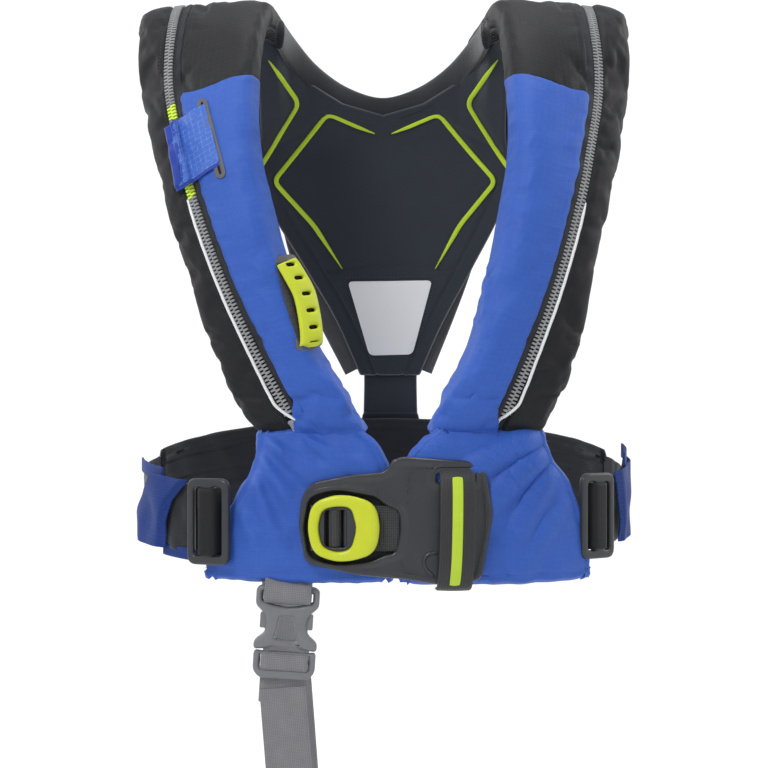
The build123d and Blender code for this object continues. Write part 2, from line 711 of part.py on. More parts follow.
def make_crotch_buckle():
    place = buckle_place()
    female = Box(FEMALE_WIDTH, BUCKLE_THICK, FEMALE_HEIGHT)
    female = fillet(female.edges().filter_by(Axis.Y), 5)
    female = fillet(female.edges().filter_by(Axis.Z), 4)
    female -= Pos(0, 0, -9) * Box(46, BUCKLE_THICK - 4.4, 40)
    female -= Pos(0, 0, 19.5) * Box(CROTCH_WIDTH + 1.5, BUCKLE_THICK + 2, 6)
    for side in (-1, 1):
        female -= Pos(side * 25, 0, -3) * Box(12, BUCKLE_THICK - 4.4, 18)
    window = Pos(0, 0, -4) * Plane.XZ.location * make_face(
        Polyline((-12, 9), (12, 9), (9, -13), (-9, -13), close=True))
    female -= Pos(0, -4, 0) * extrude(window, 8, both=True)
    save(place * female, "buckle_socket")

    male = Pos(0, 0, MALE_TOP - 15.4) * Box(52, 11, 28)
    male = fillet(male.edges().filter_by(Axis.Y), 4)
    male = fillet(male.edges().filter_by(Axis.Z), 3)
    for z in (MALE_TOP - 13, MALE_TOP - 22.5):
        male -= Pos(0, 0, z) * Box(CROTCH_WIDTH + 1.5, 13, 4.5)
    male += Pos(0, 0, MALE_TOP + 13) * Box(9, 6, 30)
    for side in (-1, 1):
        male -= Pos(side * PRONG_X, 0, MALE_TOP) * Rot(90, 0, 0) * Cylinder(3.2, 20)
    save(place * male, "buckle_tongue")

    for name, side in SIDES.items():
        prong = Pos(0, 0, PRONG_LENGTH / 2) * Box(5, 7, PRONG_LENGTH)
        barb = Pos(side * 4, 0, PRONG_LENGTH - 9) * Box(6, 7, 13)
        root = Rot(90, 0, 0) * Cylinder(3.1, 7)
        shape = fillet((prong + barb).edges().filter_by(Axis.Y), 1.2) + root
        save(place * Pos(side * PRONG_X, 0, MALE_TOP) * shape, f"buckle_prong_{name}")

    # Webbing that comes down from between the waist panel's layers and loops round the bar.
    route = [(0, -1.6, 34.4), (0, -8.4, 27.5), (0, -8.4, 19.5), (0, 8.4, 19.5), (0, 8.4, 27.5),
             (0, 1.6, 34.4)]
    path = FilletPolyline(*route, radius=[4, 2.2, 2.2, 4])
    start = Vector(*route[1]) - Vector(*route[0])
    section = Plane(origin=route[0], x_dir=(1, 0, 0), z_dir=start) * Rectangle(CROTCH_WIDTH, 2.2)
    hanger = sweep(section, path=path)
    save(place * hanger, "crotch_hanger")

    wrap = Pos(0, -6.9, MALE_TOP - 17.7) * Box(CROTCH_WIDTH, 2.2, 12.4)
    save(place * wrap, "ladder_webbing")


# Crotch strap route in its own upright plane: distance behind the buckle, and height.
STRAP_ROUTE = [(0, -569), (0, -679), (79, -758), (188, -758), (267, -679), (270, -570), (264, -462)]
STRAP_TURN = 1.2            # degrees about Z, so that the plane points to the rear tab
STRAP_LEAN = -4.5           # degrees about Y, the strap swings back under the buckle


def corner_radii(points):
    """Largest tangent arc at each corner: 0.45 of the shorter run over tan of half the turn."""
    radii = []
    for a, b, c in zip(points, points[1:], points[2:]):
        into, out = Vector(*b) - Vector(*a), Vector(*c) - Vector(*b)
        half_turn = math.radians(into.get_angle(out)) / 2
        radii.append(0.45 * min(into.length, out.length) / math.tan(half_turn))
    return radii


def make_crotch_strap():
    points = [(0, y, z - STRAP_ROUTE[0][1]) for y, z in STRAP_ROUTE]
    radii = corner_radii(points)
    path = FilletPolyline(*points, radius=radii)
    section = Plane(origin=points[0], x_dir=(1, 0, 0), z_dir=(0, 0, -1)) * Rectangle(CROTCH_WIDTH, WEBBING)
    strap = sweep(section, path=path)
    place = Location((BUCKLE_X - 3.5, BUCKLE_Y, STRAP_ROUTE[0][1]), (0, STRAP_LEAN, STRAP_TURN))
    save(place * strap, "crotch_strap")
    end = (place * Location(points[-1])).position
    loop = Pos(end.X, end.Y, end.Z + 47) * Box(CROTCH_WIDTH, WEBBING, 88)
    save(loop, "rear_strap_tab")


# --- build ----------------------------------------------------------------------------------

os.makedirs("parts", exist_ok=True)
make_cover()
make_inflation_gear()
make_right_gear()
slot_film = make_burst_tab()
make_zip_slider()
make_pull_handle(slot_film)
make_yoke()
make_yoke_trim()
make_back_strap()
make_waist_panels()
make_adjusters()
make_belt()
make_buckle()
make_tether_loop()
make_crotch_buckle()
make_crotch_strap()
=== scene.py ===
"""Looks of an inflatable life jacket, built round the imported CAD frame.  Lengths in the
shape code are millimetres; they become metres when a mesh is made."""
import json
import math

import bmesh
import bpy
import numpy as np
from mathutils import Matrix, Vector
from mathutils.bvhtree import BVHTree

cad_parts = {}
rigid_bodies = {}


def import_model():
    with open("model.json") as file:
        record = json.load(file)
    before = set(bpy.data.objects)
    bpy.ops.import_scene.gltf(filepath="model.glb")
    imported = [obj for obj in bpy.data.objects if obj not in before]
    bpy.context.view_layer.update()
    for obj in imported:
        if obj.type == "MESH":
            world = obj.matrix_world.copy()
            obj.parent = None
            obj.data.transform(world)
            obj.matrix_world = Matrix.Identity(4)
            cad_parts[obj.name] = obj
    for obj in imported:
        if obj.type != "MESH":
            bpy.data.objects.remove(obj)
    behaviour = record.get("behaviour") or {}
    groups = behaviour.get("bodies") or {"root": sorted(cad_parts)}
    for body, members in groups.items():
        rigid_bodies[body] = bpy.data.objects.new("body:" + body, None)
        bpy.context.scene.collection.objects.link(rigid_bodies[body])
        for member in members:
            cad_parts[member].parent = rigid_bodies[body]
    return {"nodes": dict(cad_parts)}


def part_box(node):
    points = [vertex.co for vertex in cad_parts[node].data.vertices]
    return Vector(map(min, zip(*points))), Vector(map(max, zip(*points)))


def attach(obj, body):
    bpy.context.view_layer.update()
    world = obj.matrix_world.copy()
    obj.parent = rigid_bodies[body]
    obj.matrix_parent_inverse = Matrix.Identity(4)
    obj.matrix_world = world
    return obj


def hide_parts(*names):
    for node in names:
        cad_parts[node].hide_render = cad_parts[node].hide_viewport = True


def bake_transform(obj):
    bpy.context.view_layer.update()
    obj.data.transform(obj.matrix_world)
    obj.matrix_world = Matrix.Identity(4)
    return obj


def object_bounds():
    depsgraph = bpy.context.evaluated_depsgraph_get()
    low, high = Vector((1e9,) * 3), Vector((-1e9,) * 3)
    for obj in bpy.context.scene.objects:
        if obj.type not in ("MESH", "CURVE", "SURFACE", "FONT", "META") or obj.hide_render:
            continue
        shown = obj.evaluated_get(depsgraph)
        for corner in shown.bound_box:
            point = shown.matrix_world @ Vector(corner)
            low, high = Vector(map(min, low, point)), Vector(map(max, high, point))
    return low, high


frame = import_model()
cad_low, cad_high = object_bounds()

MM = 0.001
LEFT, RIGHT = -1, 1


# --- small maths -----------------------------------------------------------------------------

def mix(a, b, t):
    return a + (b - a) * t


def smooth(low, high, value):
    t = np.clip((np.asarray(value, float) - low) / (high - low), 0, 1)
    return t * t * (3 - 2 * t)


def bell(value, width):
    return np.exp(-(np.asarray(value, float) / width) ** 2)


def unit(v):
    v = np.asarray(v, float)
    return v / np.maximum(np.linalg.norm(v, axis=-1, keepdims=True), 1e-9)


def spline(values, at, closed=False):
    """Catmull-Rom curve through the rows of values, at fractional row numbers."""
    values = np.asarray(values, float)
    last = len(values) if closed else len(values) - 1
    at = np.asarray(at, float)
    i = np.clip(np.floor(at).astype(int), 0, last - 1)
    t = (at - i).reshape(at.shape + (1,) * (values.ndim - 1))

    def row(k):
        return values[k % len(values)] if closed else values[np.clip(k, 0, len(values) - 1)]
    p0, p1, p2, p3 = row(i - 1), row(i), row(i + 1), row(i + 2)
    return 0.5 * (2 * p1 + (p2 - p0) * t + (2 * p0 - 5 * p1 + 4 * p2 - p3) * t ** 2
                  + (3 * p1 - p0 - 3 * p2 + p3) * t ** 3)


def curve_through(points, count, closed=False):
    points = np.asarray(points, float)
    last = len(points) if closed else len(points) - 1
    return spline(points, np.linspace(0, last, count, endpoint=not closed), closed)


def even(points, step=None, count=None):
    """The same line with evenly spaced points."""
    points = np.asarray(points, float)
    run = np.concatenate([[0], np.cumsum(np.linalg.norm(np.diff(points, axis=0), axis=1))])
    count = count or max(2, int(round(run[-1] / step)) + 1)
    at = np.linspace(0, run[-1], count)
    return np.stack([np.interp(at, run, points[:, k]) for k in range(points.shape[1])], 1)


def ripple(x, y, wave, seed, octaves=3):
    """Smooth repeatable waviness between about -1 and 1."""
    draw = np.random.default_rng(seed)
    total = 0
    for n in range(octaves):
        for _ in range(3):
            angle, phase = draw.uniform(0, 2 * math.pi, 2)
            turn = 2 * math.pi * (x * math.cos(angle) + y * math.sin(angle)) / (wave * 0.6 ** n)
            total = total + np.sin(turn + phase) * 0.55 ** n
    return total / 3.2


# --- materials -------------------------------------------------------------------------------

def linear(r, g, b):
    """Linear colour from an 8-bit screen colour."""
    return tuple((c / 255 / 12.92) if c <= 10 else ((c / 255 + 0.055) / 1.055) ** 2.4
                 for c in (r, g, b)) + (1.0,)


class Look:
    """Builds one node material."""

    def __init__(self, name):
        self.material = bpy.data.materials.new(name)
        self.material.use_nodes = True
        self.tree = self.material.node_tree
        self.tree.nodes.clear()

    def node(self, kind, inputs=(), out=0, **settings):
        made = self.tree.nodes.new("ShaderNode" + kind)
        for key, value in settings.items():
            setattr(made, key, value)
        for key, value in dict(inputs).items():
            if isinstance(value, bpy.types.NodeSocket):
                self.tree.links.new(value, made.inputs[key])
            else:
                made.inputs[key].default_value = value
        return made.outputs[out]

    def math(self, operation, a, b=0.0, c=0.0, clamp=False):
        return self.node("Math", {0: a, 1: b, 2: c}, operation=operation, use_clamp=clamp)

    def ramp(self, value, low, high, to_low=0.0, to_high=1.0):
        return self.node("MapRange", {"Value": value, "From Min": low, "From Max": high,
                                      "To Min": to_low, "To Max": to_high},
                         interpolation_type="SMOOTHSTEP")

    def mix(self, factor, a, b, blend="MIX"):
        return self.node("Mix", {0: factor, 6: a, 7: b}, out=2, data_type="RGBA",
                         blend_type=blend)

    def place(self, use_uv):
        """Coordinates in metres: the piece's own flat layout, or its place on the jacket."""
        return self.node("TexCoord", out=2 if use_uv else 3)

    def depth_in(self):
        """How far back a place is, in metres."""
        split = self.tree.nodes.new("ShaderNodeSeparateXYZ")
        self.tree.links.new(self.place(False), split.inputs[0])
        return split.outputs[1]

    def scaled(self, vector, x, y, z=1.0):
        return self.node("VectorMath", {0: vector, 1: (x, y, z)}, operation="MULTIPLY")

    def noise(self, vector, size, detail=3.0, rough=0.55):
        return self.node("TexNoise", {"Vector": vector, "Scale": 1 / size, "Detail": detail,
                                      "Roughness": rough})

    def lines(self, value, period, width):
        """1 along thin lines that repeat, 0 between them."""
        away = self.math("PINGPONG", value, period / 2)
        return self.ramp(away, width * 0.3, width, 1.0, 0.0)

    def waves(self, value, period):
        turn = self.math("MULTIPLY", value, 2 * math.pi / period)
        return self.math("MULTIPLY_ADD", self.math("SINE", turn), 0.5, 0.5)

    def finish(self, colour, rough, height=None, depth=0.0002, **more):
        inputs = {"Base Color": colour, "Roughness": rough}
        inputs.update({k.replace("_", " "): v for k, v in more.items()})
        if height is not None:
            inputs["Normal"] = self.node("Bump", {"Height": height, "Distance": depth,
                                                  "Strength": 1.0})
        shader = self.node("BsdfPrincipled", inputs)
        out = self.tree.nodes.new("ShaderNodeOutputMaterial")
        self.tree.links.new(shader, out.inputs[0])
        return self.material


def cloth(name, colour, shade, yarn=0.0011, grid=0.0, grid_tint=None, rough=0.62, sheen=0.25,
          streak=0.3, patchy=0.25, depth=0.00016, crumple=0.35, use_uv=True, grid_mix=0.55):
    """Woven fabric: yarns over and under, slubs along the weft, an optional ripstop grid, soft
    crumpling and patchy wear."""
    k = Look(name)
    place = k.place(use_uv)
    split = k.tree.nodes.new("ShaderNodeSeparateXYZ")
    k.tree.links.new(place, split.inputs[0])
    u, v = split.outputs[0], split.outputs[1 if use_uv else 2]
    over = k.math("MULTIPLY", k.waves(u, yarn * 2), k.waves(v, yarn * 2))
    under = k.math("MULTIPLY", k.waves(k.math("ADD", u, yarn), yarn * 2),
                   k.waves(k.math("ADD", v, yarn), yarn * 2))
    weave = k.math("MAXIMUM", over, under)
    slubs = k.noise(k.scaled(place, 60, 900, 900), 1.0, 2.0)
    wear = k.noise(place, 0.045, 4.0, 0.6)
    folds = k.noise(place, 0.011, 3.0, 0.5)
    tone = k.math("MULTIPLY_ADD", k.math("SUBTRACT", slubs, 0.5), streak * 2, 0.62)
    tone = k.math("MULTIPLY_ADD", k.math("SUBTRACT", wear, 0.5), patchy * 2, tone)
    # The gaps between the yarns are coloured darker: painted shade; the slubs and patchy wear above
    # are real tone.
    tone = k.math("MULTIPLY_ADD", k.math("SUBTRACT", weave, 0.4), 0.22, tone, clamp=True)
    tint = k.mix(tone, shade, colour)
    height = k.math("MULTIPLY_ADD", folds, crumple * 4, weave)
    height = k.math("MULTIPLY_ADD", slubs, 0.5, height)
    if grid:
        raised = k.math("MAXIMUM", k.lines(u, grid, grid * 0.06), k.lines(v, grid, grid * 0.06))
        broken = k.math("MULTIPLY", raised, k.ramp(k.noise(place, 0.004, 2.0), 0.35, 0.65))
        tint = k.mix(k.math("MULTIPLY", broken, grid_mix), tint, grid_tint or colour)
        height = k.math("MULTIPLY_ADD", raised, grid_mix * 1.6, height)
    worn = k.math("MULTIPLY_ADD", wear, 0.22, rough - 0.11)
    return k.finish(tint, worn, height, depth, Sheen_Weight=sheen, Sheen_Roughness=0.45,
                    Specular_IOR_Level=0.25)


def webbing_look(name, colour, shade, rib=0.0016, rough=0.6, twill=False, tint=None):
    """Heavy webbing: close ribs along its length, crossed by the weft."""
    k = Look(name)
    place = k.place(True)
    split = k.tree.nodes.new("ShaderNodeSeparateXYZ")
    k.tree.links.new(place, split.inputs[0])
    u, v = split.outputs[0], split.outputs[1]
    slant = k.math("MULTIPLY_ADD", u, 0.9 if twill else 0.0, v)
    warp = k.waves(u, rib)
    weft = k.waves(slant, rib * 0.8)
    knots = k.math("MULTIPLY", warp, weft)
    wear = k.noise(place, 0.02, 4.0, 0.6)
    # Darker between the ribs and where the weft dips under: painted shade; the wear noise is real
    # tone.
    tone = k.math("MULTIPLY_ADD", k.math("SUBTRACT", knots, 0.3), 0.8, 0.35)
    tone = k.math("MULTIPLY_ADD", k.math("SUBTRACT", wear, 0.5), 0.5, tone, clamp=True)
    tint_all = k.mix(tone, shade, colour)
    if tint:
        dots = k.ramp(k.noise(k.scaled(place, 1.0, 1.0), 0.0011, 0.0), 0.6, 0.72)
        tint_all = k.mix(k.math("MULTIPLY", dots, 0.6), tint_all, tint)
    height = k.math("MULTIPLY_ADD", k.noise(place, 0.008, 3.0), 1.2, knots)
    return k.finish(tint_all, rough, height, 0.00028, Sheen_Weight=0.15)


def plastic_look(name, colour, shade, rough=0.42, grain=0.0009, depth=0.00005, wear=0.3,
                 spec=0.5, **more):
    """Moulded plastic with a spark-eroded grain, handling marks and uneven gloss."""
    k = Look(name)
    place = k.place(False)
    grains = k.noise(place, grain, 2.0)
    broad = k.noise(place, 0.018, 4.0, 0.65)
    scuff = k.ramp(k.noise(k.scaled(place, 260, 40, 90), 1.0, 3.0), 0.56, 0.72)
    tone = k.math("MULTIPLY_ADD", k.math("SUBTRACT", broad, 0.5), wear * 2, 0.6, clamp=True)
    tint = k.mix(tone, shade, colour)
    gloss = k.math("MULTIPLY_ADD", broad, 0.16, rough - 0.08)
    gloss = k.math("MULTIPLY_ADD", scuff, 0.12, gloss)
    height = k.math("MULTIPLY_ADD", scuff, 0.6, grains)
    return k.finish(tint, gloss, height, depth, Specular_IOR_Level=spec, **more)


def mesh_look(name, colour, shade):
    """Three-dimensional spacer mesh: rows of small open cells."""
    k = Look(name)
    place = k.place(True)
    cells = k.node("TexVoronoi", {"Vector": k.scaled(place, 1.0, 0.8), "Scale": 1 / 0.0032,
                                  "Randomness": 0.25})
    wall = k.ramp(cells, 0.25, 0.55)
    wear = k.noise(place, 0.03, 4.0)
    # The cells are coloured dark and their walls light: painted shade in the open cells.
    tint = k.mix(k.math("MULTIPLY", wall, k.ramp(wear, 0.1, 0.9, 0.6, 1.0)), shade, colour)
    return k.finish(tint, 0.8, wall, 0.0006, Sheen_Weight=0.3)


BLUE = cloth("blue_ripstop", linear(57, 99, 190), linear(35, 71, 155), grid=0.0056,
             grid_tint=linear(80, 120, 200), rough=0.5, sheen=0.05, grid_mix=0.25)
BLUE_TAB = cloth("blue_grid_ripstop", linear(70, 112, 200), linear(46, 84, 168), grid=0.0052,
                 grid_tint=linear(170, 194, 236), rough=0.45, sheen=0.05, grid_mix=0.45)
BLUE_SATIN = cloth("blue_satin", linear(34, 70, 172), linear(24, 52, 140), yarn=0.0007,
                   rough=0.42, patchy=0.15)
BLUE_WEB = cloth("blue_tape", linear(22, 54, 126), linear(15, 40, 100), yarn=0.0012,
                 rough=0.6, sheen=0.03, grid=0.0036, grid_tint=linear(44, 84, 164))
BLACK = cloth("black_ripstop", linear(29, 30, 34), linear(17, 18, 21), grid=0.0056,
              grid_tint=linear(48, 50, 55), rough=0.5, sheen=0.03, grid_mix=0.35)
# Plain black cloth for the side panels and adjuster straps; it is also laid as dark sheets in
# slits, under the pull handle and behind the plate's recess and slot, as painted shade.
BLACK_CLOTH_AND_SHADE = cloth("black_cloth_and_painted_shade", linear(28, 29, 32), linear(18, 18, 20), rough=0.6,
                    sheen=0.05)
NAVY = cloth("navy_softshell", linear(46, 52, 62), linear(32, 37, 46), yarn=0.0006, rough=0.7,
             sheen=0.45, patchy=0.12, streak=0.12, crumple=0.2)
COLLAR = cloth("collar_jersey", linear(38, 40, 46), linear(24, 26, 30), yarn=0.0008, rough=0.8,
               sheen=0.5)
TAPE = cloth("zip_tape", linear(44, 47, 52), linear(28, 30, 34), yarn=0.0010, rough=0.7,
             sheen=0.05)
BELT = cloth("belt_cloth", linear(28, 30, 37), linear(18, 20, 25), yarn=0.0012, rough=0.6,
             sheen=0.35)
SPACER = mesh_look("spacer_mesh", linear(52, 54, 60), linear(16, 17, 19))
GREY_WEB = webbing_look("grey_webbing", linear(150, 149, 152), linear(104, 104, 108))
DARK_GREY_WEB = webbing_look("dark_grey_webbing", linear(96, 97, 101), linear(62, 63, 67))
BLACK_WEB = webbing_look("black_webbing", linear(64, 65, 68), linear(26, 27, 29), rib=0.0022)
HOOK = mesh_look("hook_strip", linear(70, 68, 70), linear(20, 18, 20))
TETHER_WEB = webbing_look("tether_webbing", linear(52, 52, 54), linear(24, 24, 26), rib=0.0022,
                          twill=True)
LIME_WEB = webbing_look("lime_stripe", linear(212, 236, 64), linear(172, 202, 34), rib=0.0012)
THREAD = webbing_look("dark_thread", linear(78, 80, 86), linear(50, 52, 56), rib=0.0006)
BLUE_THREAD = webbing_look("blue_thread", linear(60, 96, 186), linear(36, 66, 146), rib=0.0006)
BLADDER = cloth("bladder_cloth", linear(214, 224, 60), linear(184, 194, 40), yarn=0.0012,
                rough=0.45)
BLACK_PLASTIC = plastic_look("black_plastic", linear(56, 58, 62), linear(34, 35, 38), rough=0.38)
PLATE = plastic_look("plate_moulding", linear(56, 58, 63), linear(38, 39, 43), rough=0.3,
                     depth=0.00004, wear=0.2)
GREY_PLASTIC = plastic_look("grey_plastic", linear(126, 127, 131), linear(92, 93, 97), rough=0.4)
LIME_PLASTIC = plastic_look("lime_plastic", linear(206, 214, 40), linear(176, 190, 22), rough=0.36)
LIME_RUBBER = plastic_look("lime_rubber", linear(206, 216, 44), linear(176, 190, 26), rough=0.5,
                           grain=0.0006)
LIME_PRINT = plastic_look("lime_print", linear(196, 222, 44), linear(166, 198, 26), rough=0.5,
                          grain=0.0007)
ZIP_GREY = plastic_look("zip_grey", linear(150, 152, 154), linear(118, 120, 122), rough=0.45)
ZIP_LIME = plastic_look("zip_lime", linear(216, 240, 84), linear(190, 220, 50), rough=0.45)
FILM = plastic_look("weld_film", linear(96, 96, 98), linear(74, 74, 76), rough=0.4)
STEEL = plastic_look("brushed_steel", linear(170, 172, 176), linear(120, 122, 126), rough=0.28,
                     Metallic=1.0)
RED = plastic_look("red_plastic", linear(190, 34, 30), linear(150, 20, 18))
ORANGE = plastic_look("orange_plastic", linear(236, 110, 30), linear(200, 84, 16))
PAINT = plastic_look("cylinder_paint", linear(70, 120, 80), linear(46, 92, 58), rough=0.3)
CLEAR = plastic_look("clear_plastic", linear(224, 232, 236), linear(200, 210, 216), rough=0.12,
                     Transmission_Weight=0.7)
HOOD = cloth("hood_cloth", linear(226, 90, 40), linear(196, 66, 24), rough=0.4)
REFLECT = plastic_look("reflective_film", linear(240, 241, 243), linear(230, 231, 234), rough=0.38,
                       grain=0.0004, wear=0.1, Metallic=0.15)
PIPING = plastic_look("reflective_piping", linear(236, 238, 240), linear(206, 208, 212), rough=0.3,
                      grain=0.0005)


# --- mesh making -----------------------------------------------------------------------------

def make_object(name, verts, faces, look, uv=None, sharp=None):
    """Mesh object from points in millimetres and a flat layout in millimetres."""
    mesh = bpy.data.meshes.new(name)
    mesh.from_pydata((np.asarray(verts, float) * MM).tolist(), [],
                     [tuple(map(int, f)) for f in faces])
    if uv is not None:
        corners = np.empty(len(mesh.loops), np.int32)
        mesh.loops.foreach_get("vertex_index", corners)
        layer = mesh.uv_layers.new(name="flat")
        layer.data.foreach_set("uv", (np.asarray(uv)[corners] * MM).astype(np.float32).ravel())
    mesh.materials.append(look)
    mesh.shade_smooth()
    if sharp:
        mesh.set_sharp_from_angle(angle=math.radians(sharp))
    obj = bpy.data.objects.new(name, mesh)
    bpy.context.scene.collection.objects.link(obj)
    return obj


def grid_faces(rows, cols, wrap_rows=False, wrap_cols=False, flip=False, start=0):
    i, j = np.meshgrid(np.arange(rows if wrap_rows else rows - 1),
                       np.arange(cols if wrap_cols else cols - 1), indexing="ij")
    i2, j2 = (i + 1) % rows, (j + 1) % cols
    quads = np.stack([i * cols + j, i * cols + j2, i2 * cols + j2, i2 * cols + j], -1)
    quads = quads.reshape(-1, 4) + start
    return quads[:, ::-1] if flip else quads


def grid_normals(p, wrap_cols=False):
    """Normals of a grid of points: along the rows crossed with along the columns."""
    if wrap_cols:
        across = np.roll(p, -1, 1) - np.roll(p, 1, 1)
    else:
        across = np.gradient(p, axis=1)
    return unit(np.cross(np.gradient(p, axis=0), across))


def lengths(p):
    """Flat layout of a grid: run across from its middle column, run along from its first row."""
    across = np.concatenate([np.zeros((len(p), 1)),
                             np.cumsum(np.linalg.norm(np.diff(p, axis=1), axis=2), axis=1)], 1)
    middle = p.shape[1] // 2
    across = across - across[:, middle:middle + 1]
    along = np.concatenate([[0], np.cumsum(np.linalg.norm(np.diff(p[:, middle], axis=0), axis=1))])
    return np.stack([across, np.repeat(along[:, None], p.shape[1], 1)], -1)


def sheet_object(name, p, look, thick=1.6, flip=False, wrap_cols=False, uv=None):
    """Fabric layer with a rounded edge: p is its outside, a grid of points."""
    rows, cols = p.shape[:2]
    n = grid_normals(p, wrap_cols) * (-1 if flip else 1)
    uv = lengths(p) if uv is None else uv
    verts = [p.reshape(-1, 3), (p - n * thick).reshape(-1, 3)]
    flats = [uv.reshape(-1, 2), uv.reshape(-1, 2)]
    count = rows * cols
    faces = [grid_faces(rows, cols, False, wrap_cols, flip),
             grid_faces(rows, cols, False, wrap_cols, not flip, count)]
    if wrap_cols:
        loops = [(np.arange(cols), p[1] - p[0], True),
                 (np.arange(cols) + (rows - 1) * cols, p[-2] - p[-1], True)]
    else:
        ring = np.concatenate([np.arange(cols), np.arange(1, rows) * cols + cols - 1,
                               (rows - 1) * cols + np.arange(cols - 2, -1, -1),
                               np.arange(rows - 2, 0, -1) * cols])
        loops = [(ring, None, True)]
    start = 2 * count
    flat_p, flat_n, flat_uv = p.reshape(-1, 3), n.reshape(-1, 3), uv.reshape(-1, 2)
    for ring, inward, _ in loops:
        here = flat_p[ring]
        if inward is None:
            tangent = unit(np.roll(here, -1, 0) - np.roll(here, 1, 0))
            out = unit(np.cross(tangent, flat_n[ring]))
            centre = here.mean(0)
            if np.sum((here - centre) * out) < 0:
                out = -out
        else:
            out = -unit(inward)
        m = len(ring)
        verts.append(here - flat_n[ring] * thick / 2 + out * thick * 0.45)
        flats.append(flat_uv[ring])
        a, b, mid = ring, ring + count, start + np.arange(m)
        nxt = np.roll(np.arange(m), -1)
        faces.append(np.stack([a, mid, mid[nxt], a[nxt]], 1))
        faces.append(np.stack([mid, b, b[nxt], mid[nxt]], 1))
        start += m
    obj = make_object(name, np.concatenate(verts), np.concatenate(faces), look,
                      np.concatenate(flats))
    face_outwards(obj)
    return obj


def face_outwards(obj):
    bm = bmesh.new()
    bm.from_mesh(obj.data)
    bmesh.ops.recalc_face_normals(bm, faces=bm.faces)
    bm.to_mesh(obj.data)
    bm.free()


def band_along(path, normals, width, thick, crown=0.0, edges=5):
    """Rings of a flat band with rounded edges: path is the middle of its back."""
    tangent = unit(np.gradient(path, axis=0))
    side = unit(np.cross(tangent, normals))
    lift = unit(np.cross(side, tangent))
    across = np.linspace(-1, 1, edges * 2 + 1)
    top = thick + crown * (1 - across ** 2)
    width = np.broadcast_to(np.asarray(width, float), (len(path),))
    corner = np.minimum(thick / 2, width / 2)[:, None]
    body = (width / 2)[:, None] - corner
    a = np.concatenate([body * across, body + corner, body * across[::-1], -body - corner], 1)
    b = np.concatenate([np.broadcast_to(top, body.shape[:1] + top.shape),
                        np.full_like(corner, thick / 2),
                        np.zeros((len(path), len(across))), np.full_like(corner, thick / 2)], 1)
    rings = path[:, None] + side[:, None] * a[..., None] + lift[:, None] * b[..., None]
    run = np.concatenate([[0], np.cumsum(np.linalg.norm(np.diff(path, axis=0), axis=1))])
    uv = np.stack([a, np.repeat(run[:, None], a.shape[1], 1)], -1)
    return rings, uv


def rings_mesh(rings, uv=None, closed=False, caps=True):
    """Vertices, faces and layout of a tube through closed rings."""
    rows, cols = rings.shape[:2]
    faces = [tuple(f) for f in grid_faces(rows, cols, closed, True)]
    if caps and not closed:
        faces += [tuple(range(cols))[::-1], tuple((rows - 1) * cols + np.arange(cols))]
    uv = np.zeros((rows * cols, 2)) if uv is None else uv.reshape(-1, 2)
    return rings.reshape(-1, 3), faces, uv


def band_object(name, path, normals, width, thick, look, crown=0.0, closed=False):
    rings, uv = band_along(np.asarray(path, float), normals, width, thick, crown)
    verts, faces, uv = rings_mesh(rings, uv, closed)
    obj = make_object(name, verts, faces, look, uv, sharp=50)
    face_outwards(obj)
    return obj


def round_rings(path, radius, sides=10, normals=None):
    path = np.asarray(path, float)
    tangent = unit(np.gradient(path, axis=0))
    if normals is None:
        normals = np.tile([0.0, -1.0, 0.05], (len(path), 1))
    side = unit(np.cross(tangent, normals))
    lift = unit(np.cross(side, tangent))
    angle = np.linspace(0, 2 * math.pi, sides, endpoint=False)
    radius = np.broadcast_to(np.asarray(radius, float), (len(path),))[:, None, None]
    ring = (side[:, None] * np.cos(angle)[:, None] + lift[:, None] * np.sin(angle)[:, None])
    return path[:, None] + ring * radius


def merged(name, parts, look, sharp=None):
    """One object from many (verts, faces, uv) parts."""
    verts, faces, uv, start = [], [], [], 0
    for v, f, t in parts:
        verts.append(v)
        uv.append(t)
        faces += [tuple(int(x) + start for x in face) for face in f]
        start += len(v)
    return make_object(name, np.concatenate(verts), faces, look, np.concatenate(uv), sharp)


def scattered(name, shape, faces, origins, axes, look, sharp=40):
    """Copies of a small shape: axes holds each copy's local x, y and z directions."""
    shape = np.asarray(shape, float)
    verts = origins[:, None] + np.einsum("vk,nkd->nvd", shape, axes)
    count, size = len(origins), len(shape)
    faces = np.asarray(faces)
    all_faces = (faces[None] + (np.arange(count) * size)[:, None, None]).reshape(-1, faces.shape[1])
    uv = np.tile(shape[:, :2], (count, 1))
    return make_object(name, verts.reshape(-1, 3), all_faces, look, uv, sharp)


STITCH = np.array([(-1, 0, 0), (-0.6, -0.45, 0.05), (-0.6, 0.45, 0.05), (-0.5, 0, 0.5),
                   (0.6, -0.45, 0.05), (0.6, 0.45, 0.05), (0.5, 0, 0.5), (1, 0, 0)])
STITCH_FACES = [(0, 1, 3), (0, 3, 2), (1, 4, 6), (1, 6, 3), (3, 6, 5), (3, 5, 2), (4, 7, 6),
                (6, 7, 5), (0, 2, 1), (1, 2, 5), (1, 5, 4), (4, 5, 7)]


def stitches(name, path, normals, look, pitch=3.2, length=2.2, width=0.75, lift=0.1):
    """Row of raised thread stitches along a line on a surface."""
    both = even(np.concatenate([path, normals], 1), step=pitch / 2)[::2]
    points, n = both[:, :3], unit(both[:, 3:])
    tangent = unit(np.gradient(points, axis=0))
    side = unit(np.cross(n, tangent))
    axes = np.stack([tangent * length / 2, side * width, n * width], 1)
    return scattered(name, STITCH, STITCH_FACES, points + n * lift, axes, look, None)


# --- camera, crotch strap cord ---------------------------------------------------------------

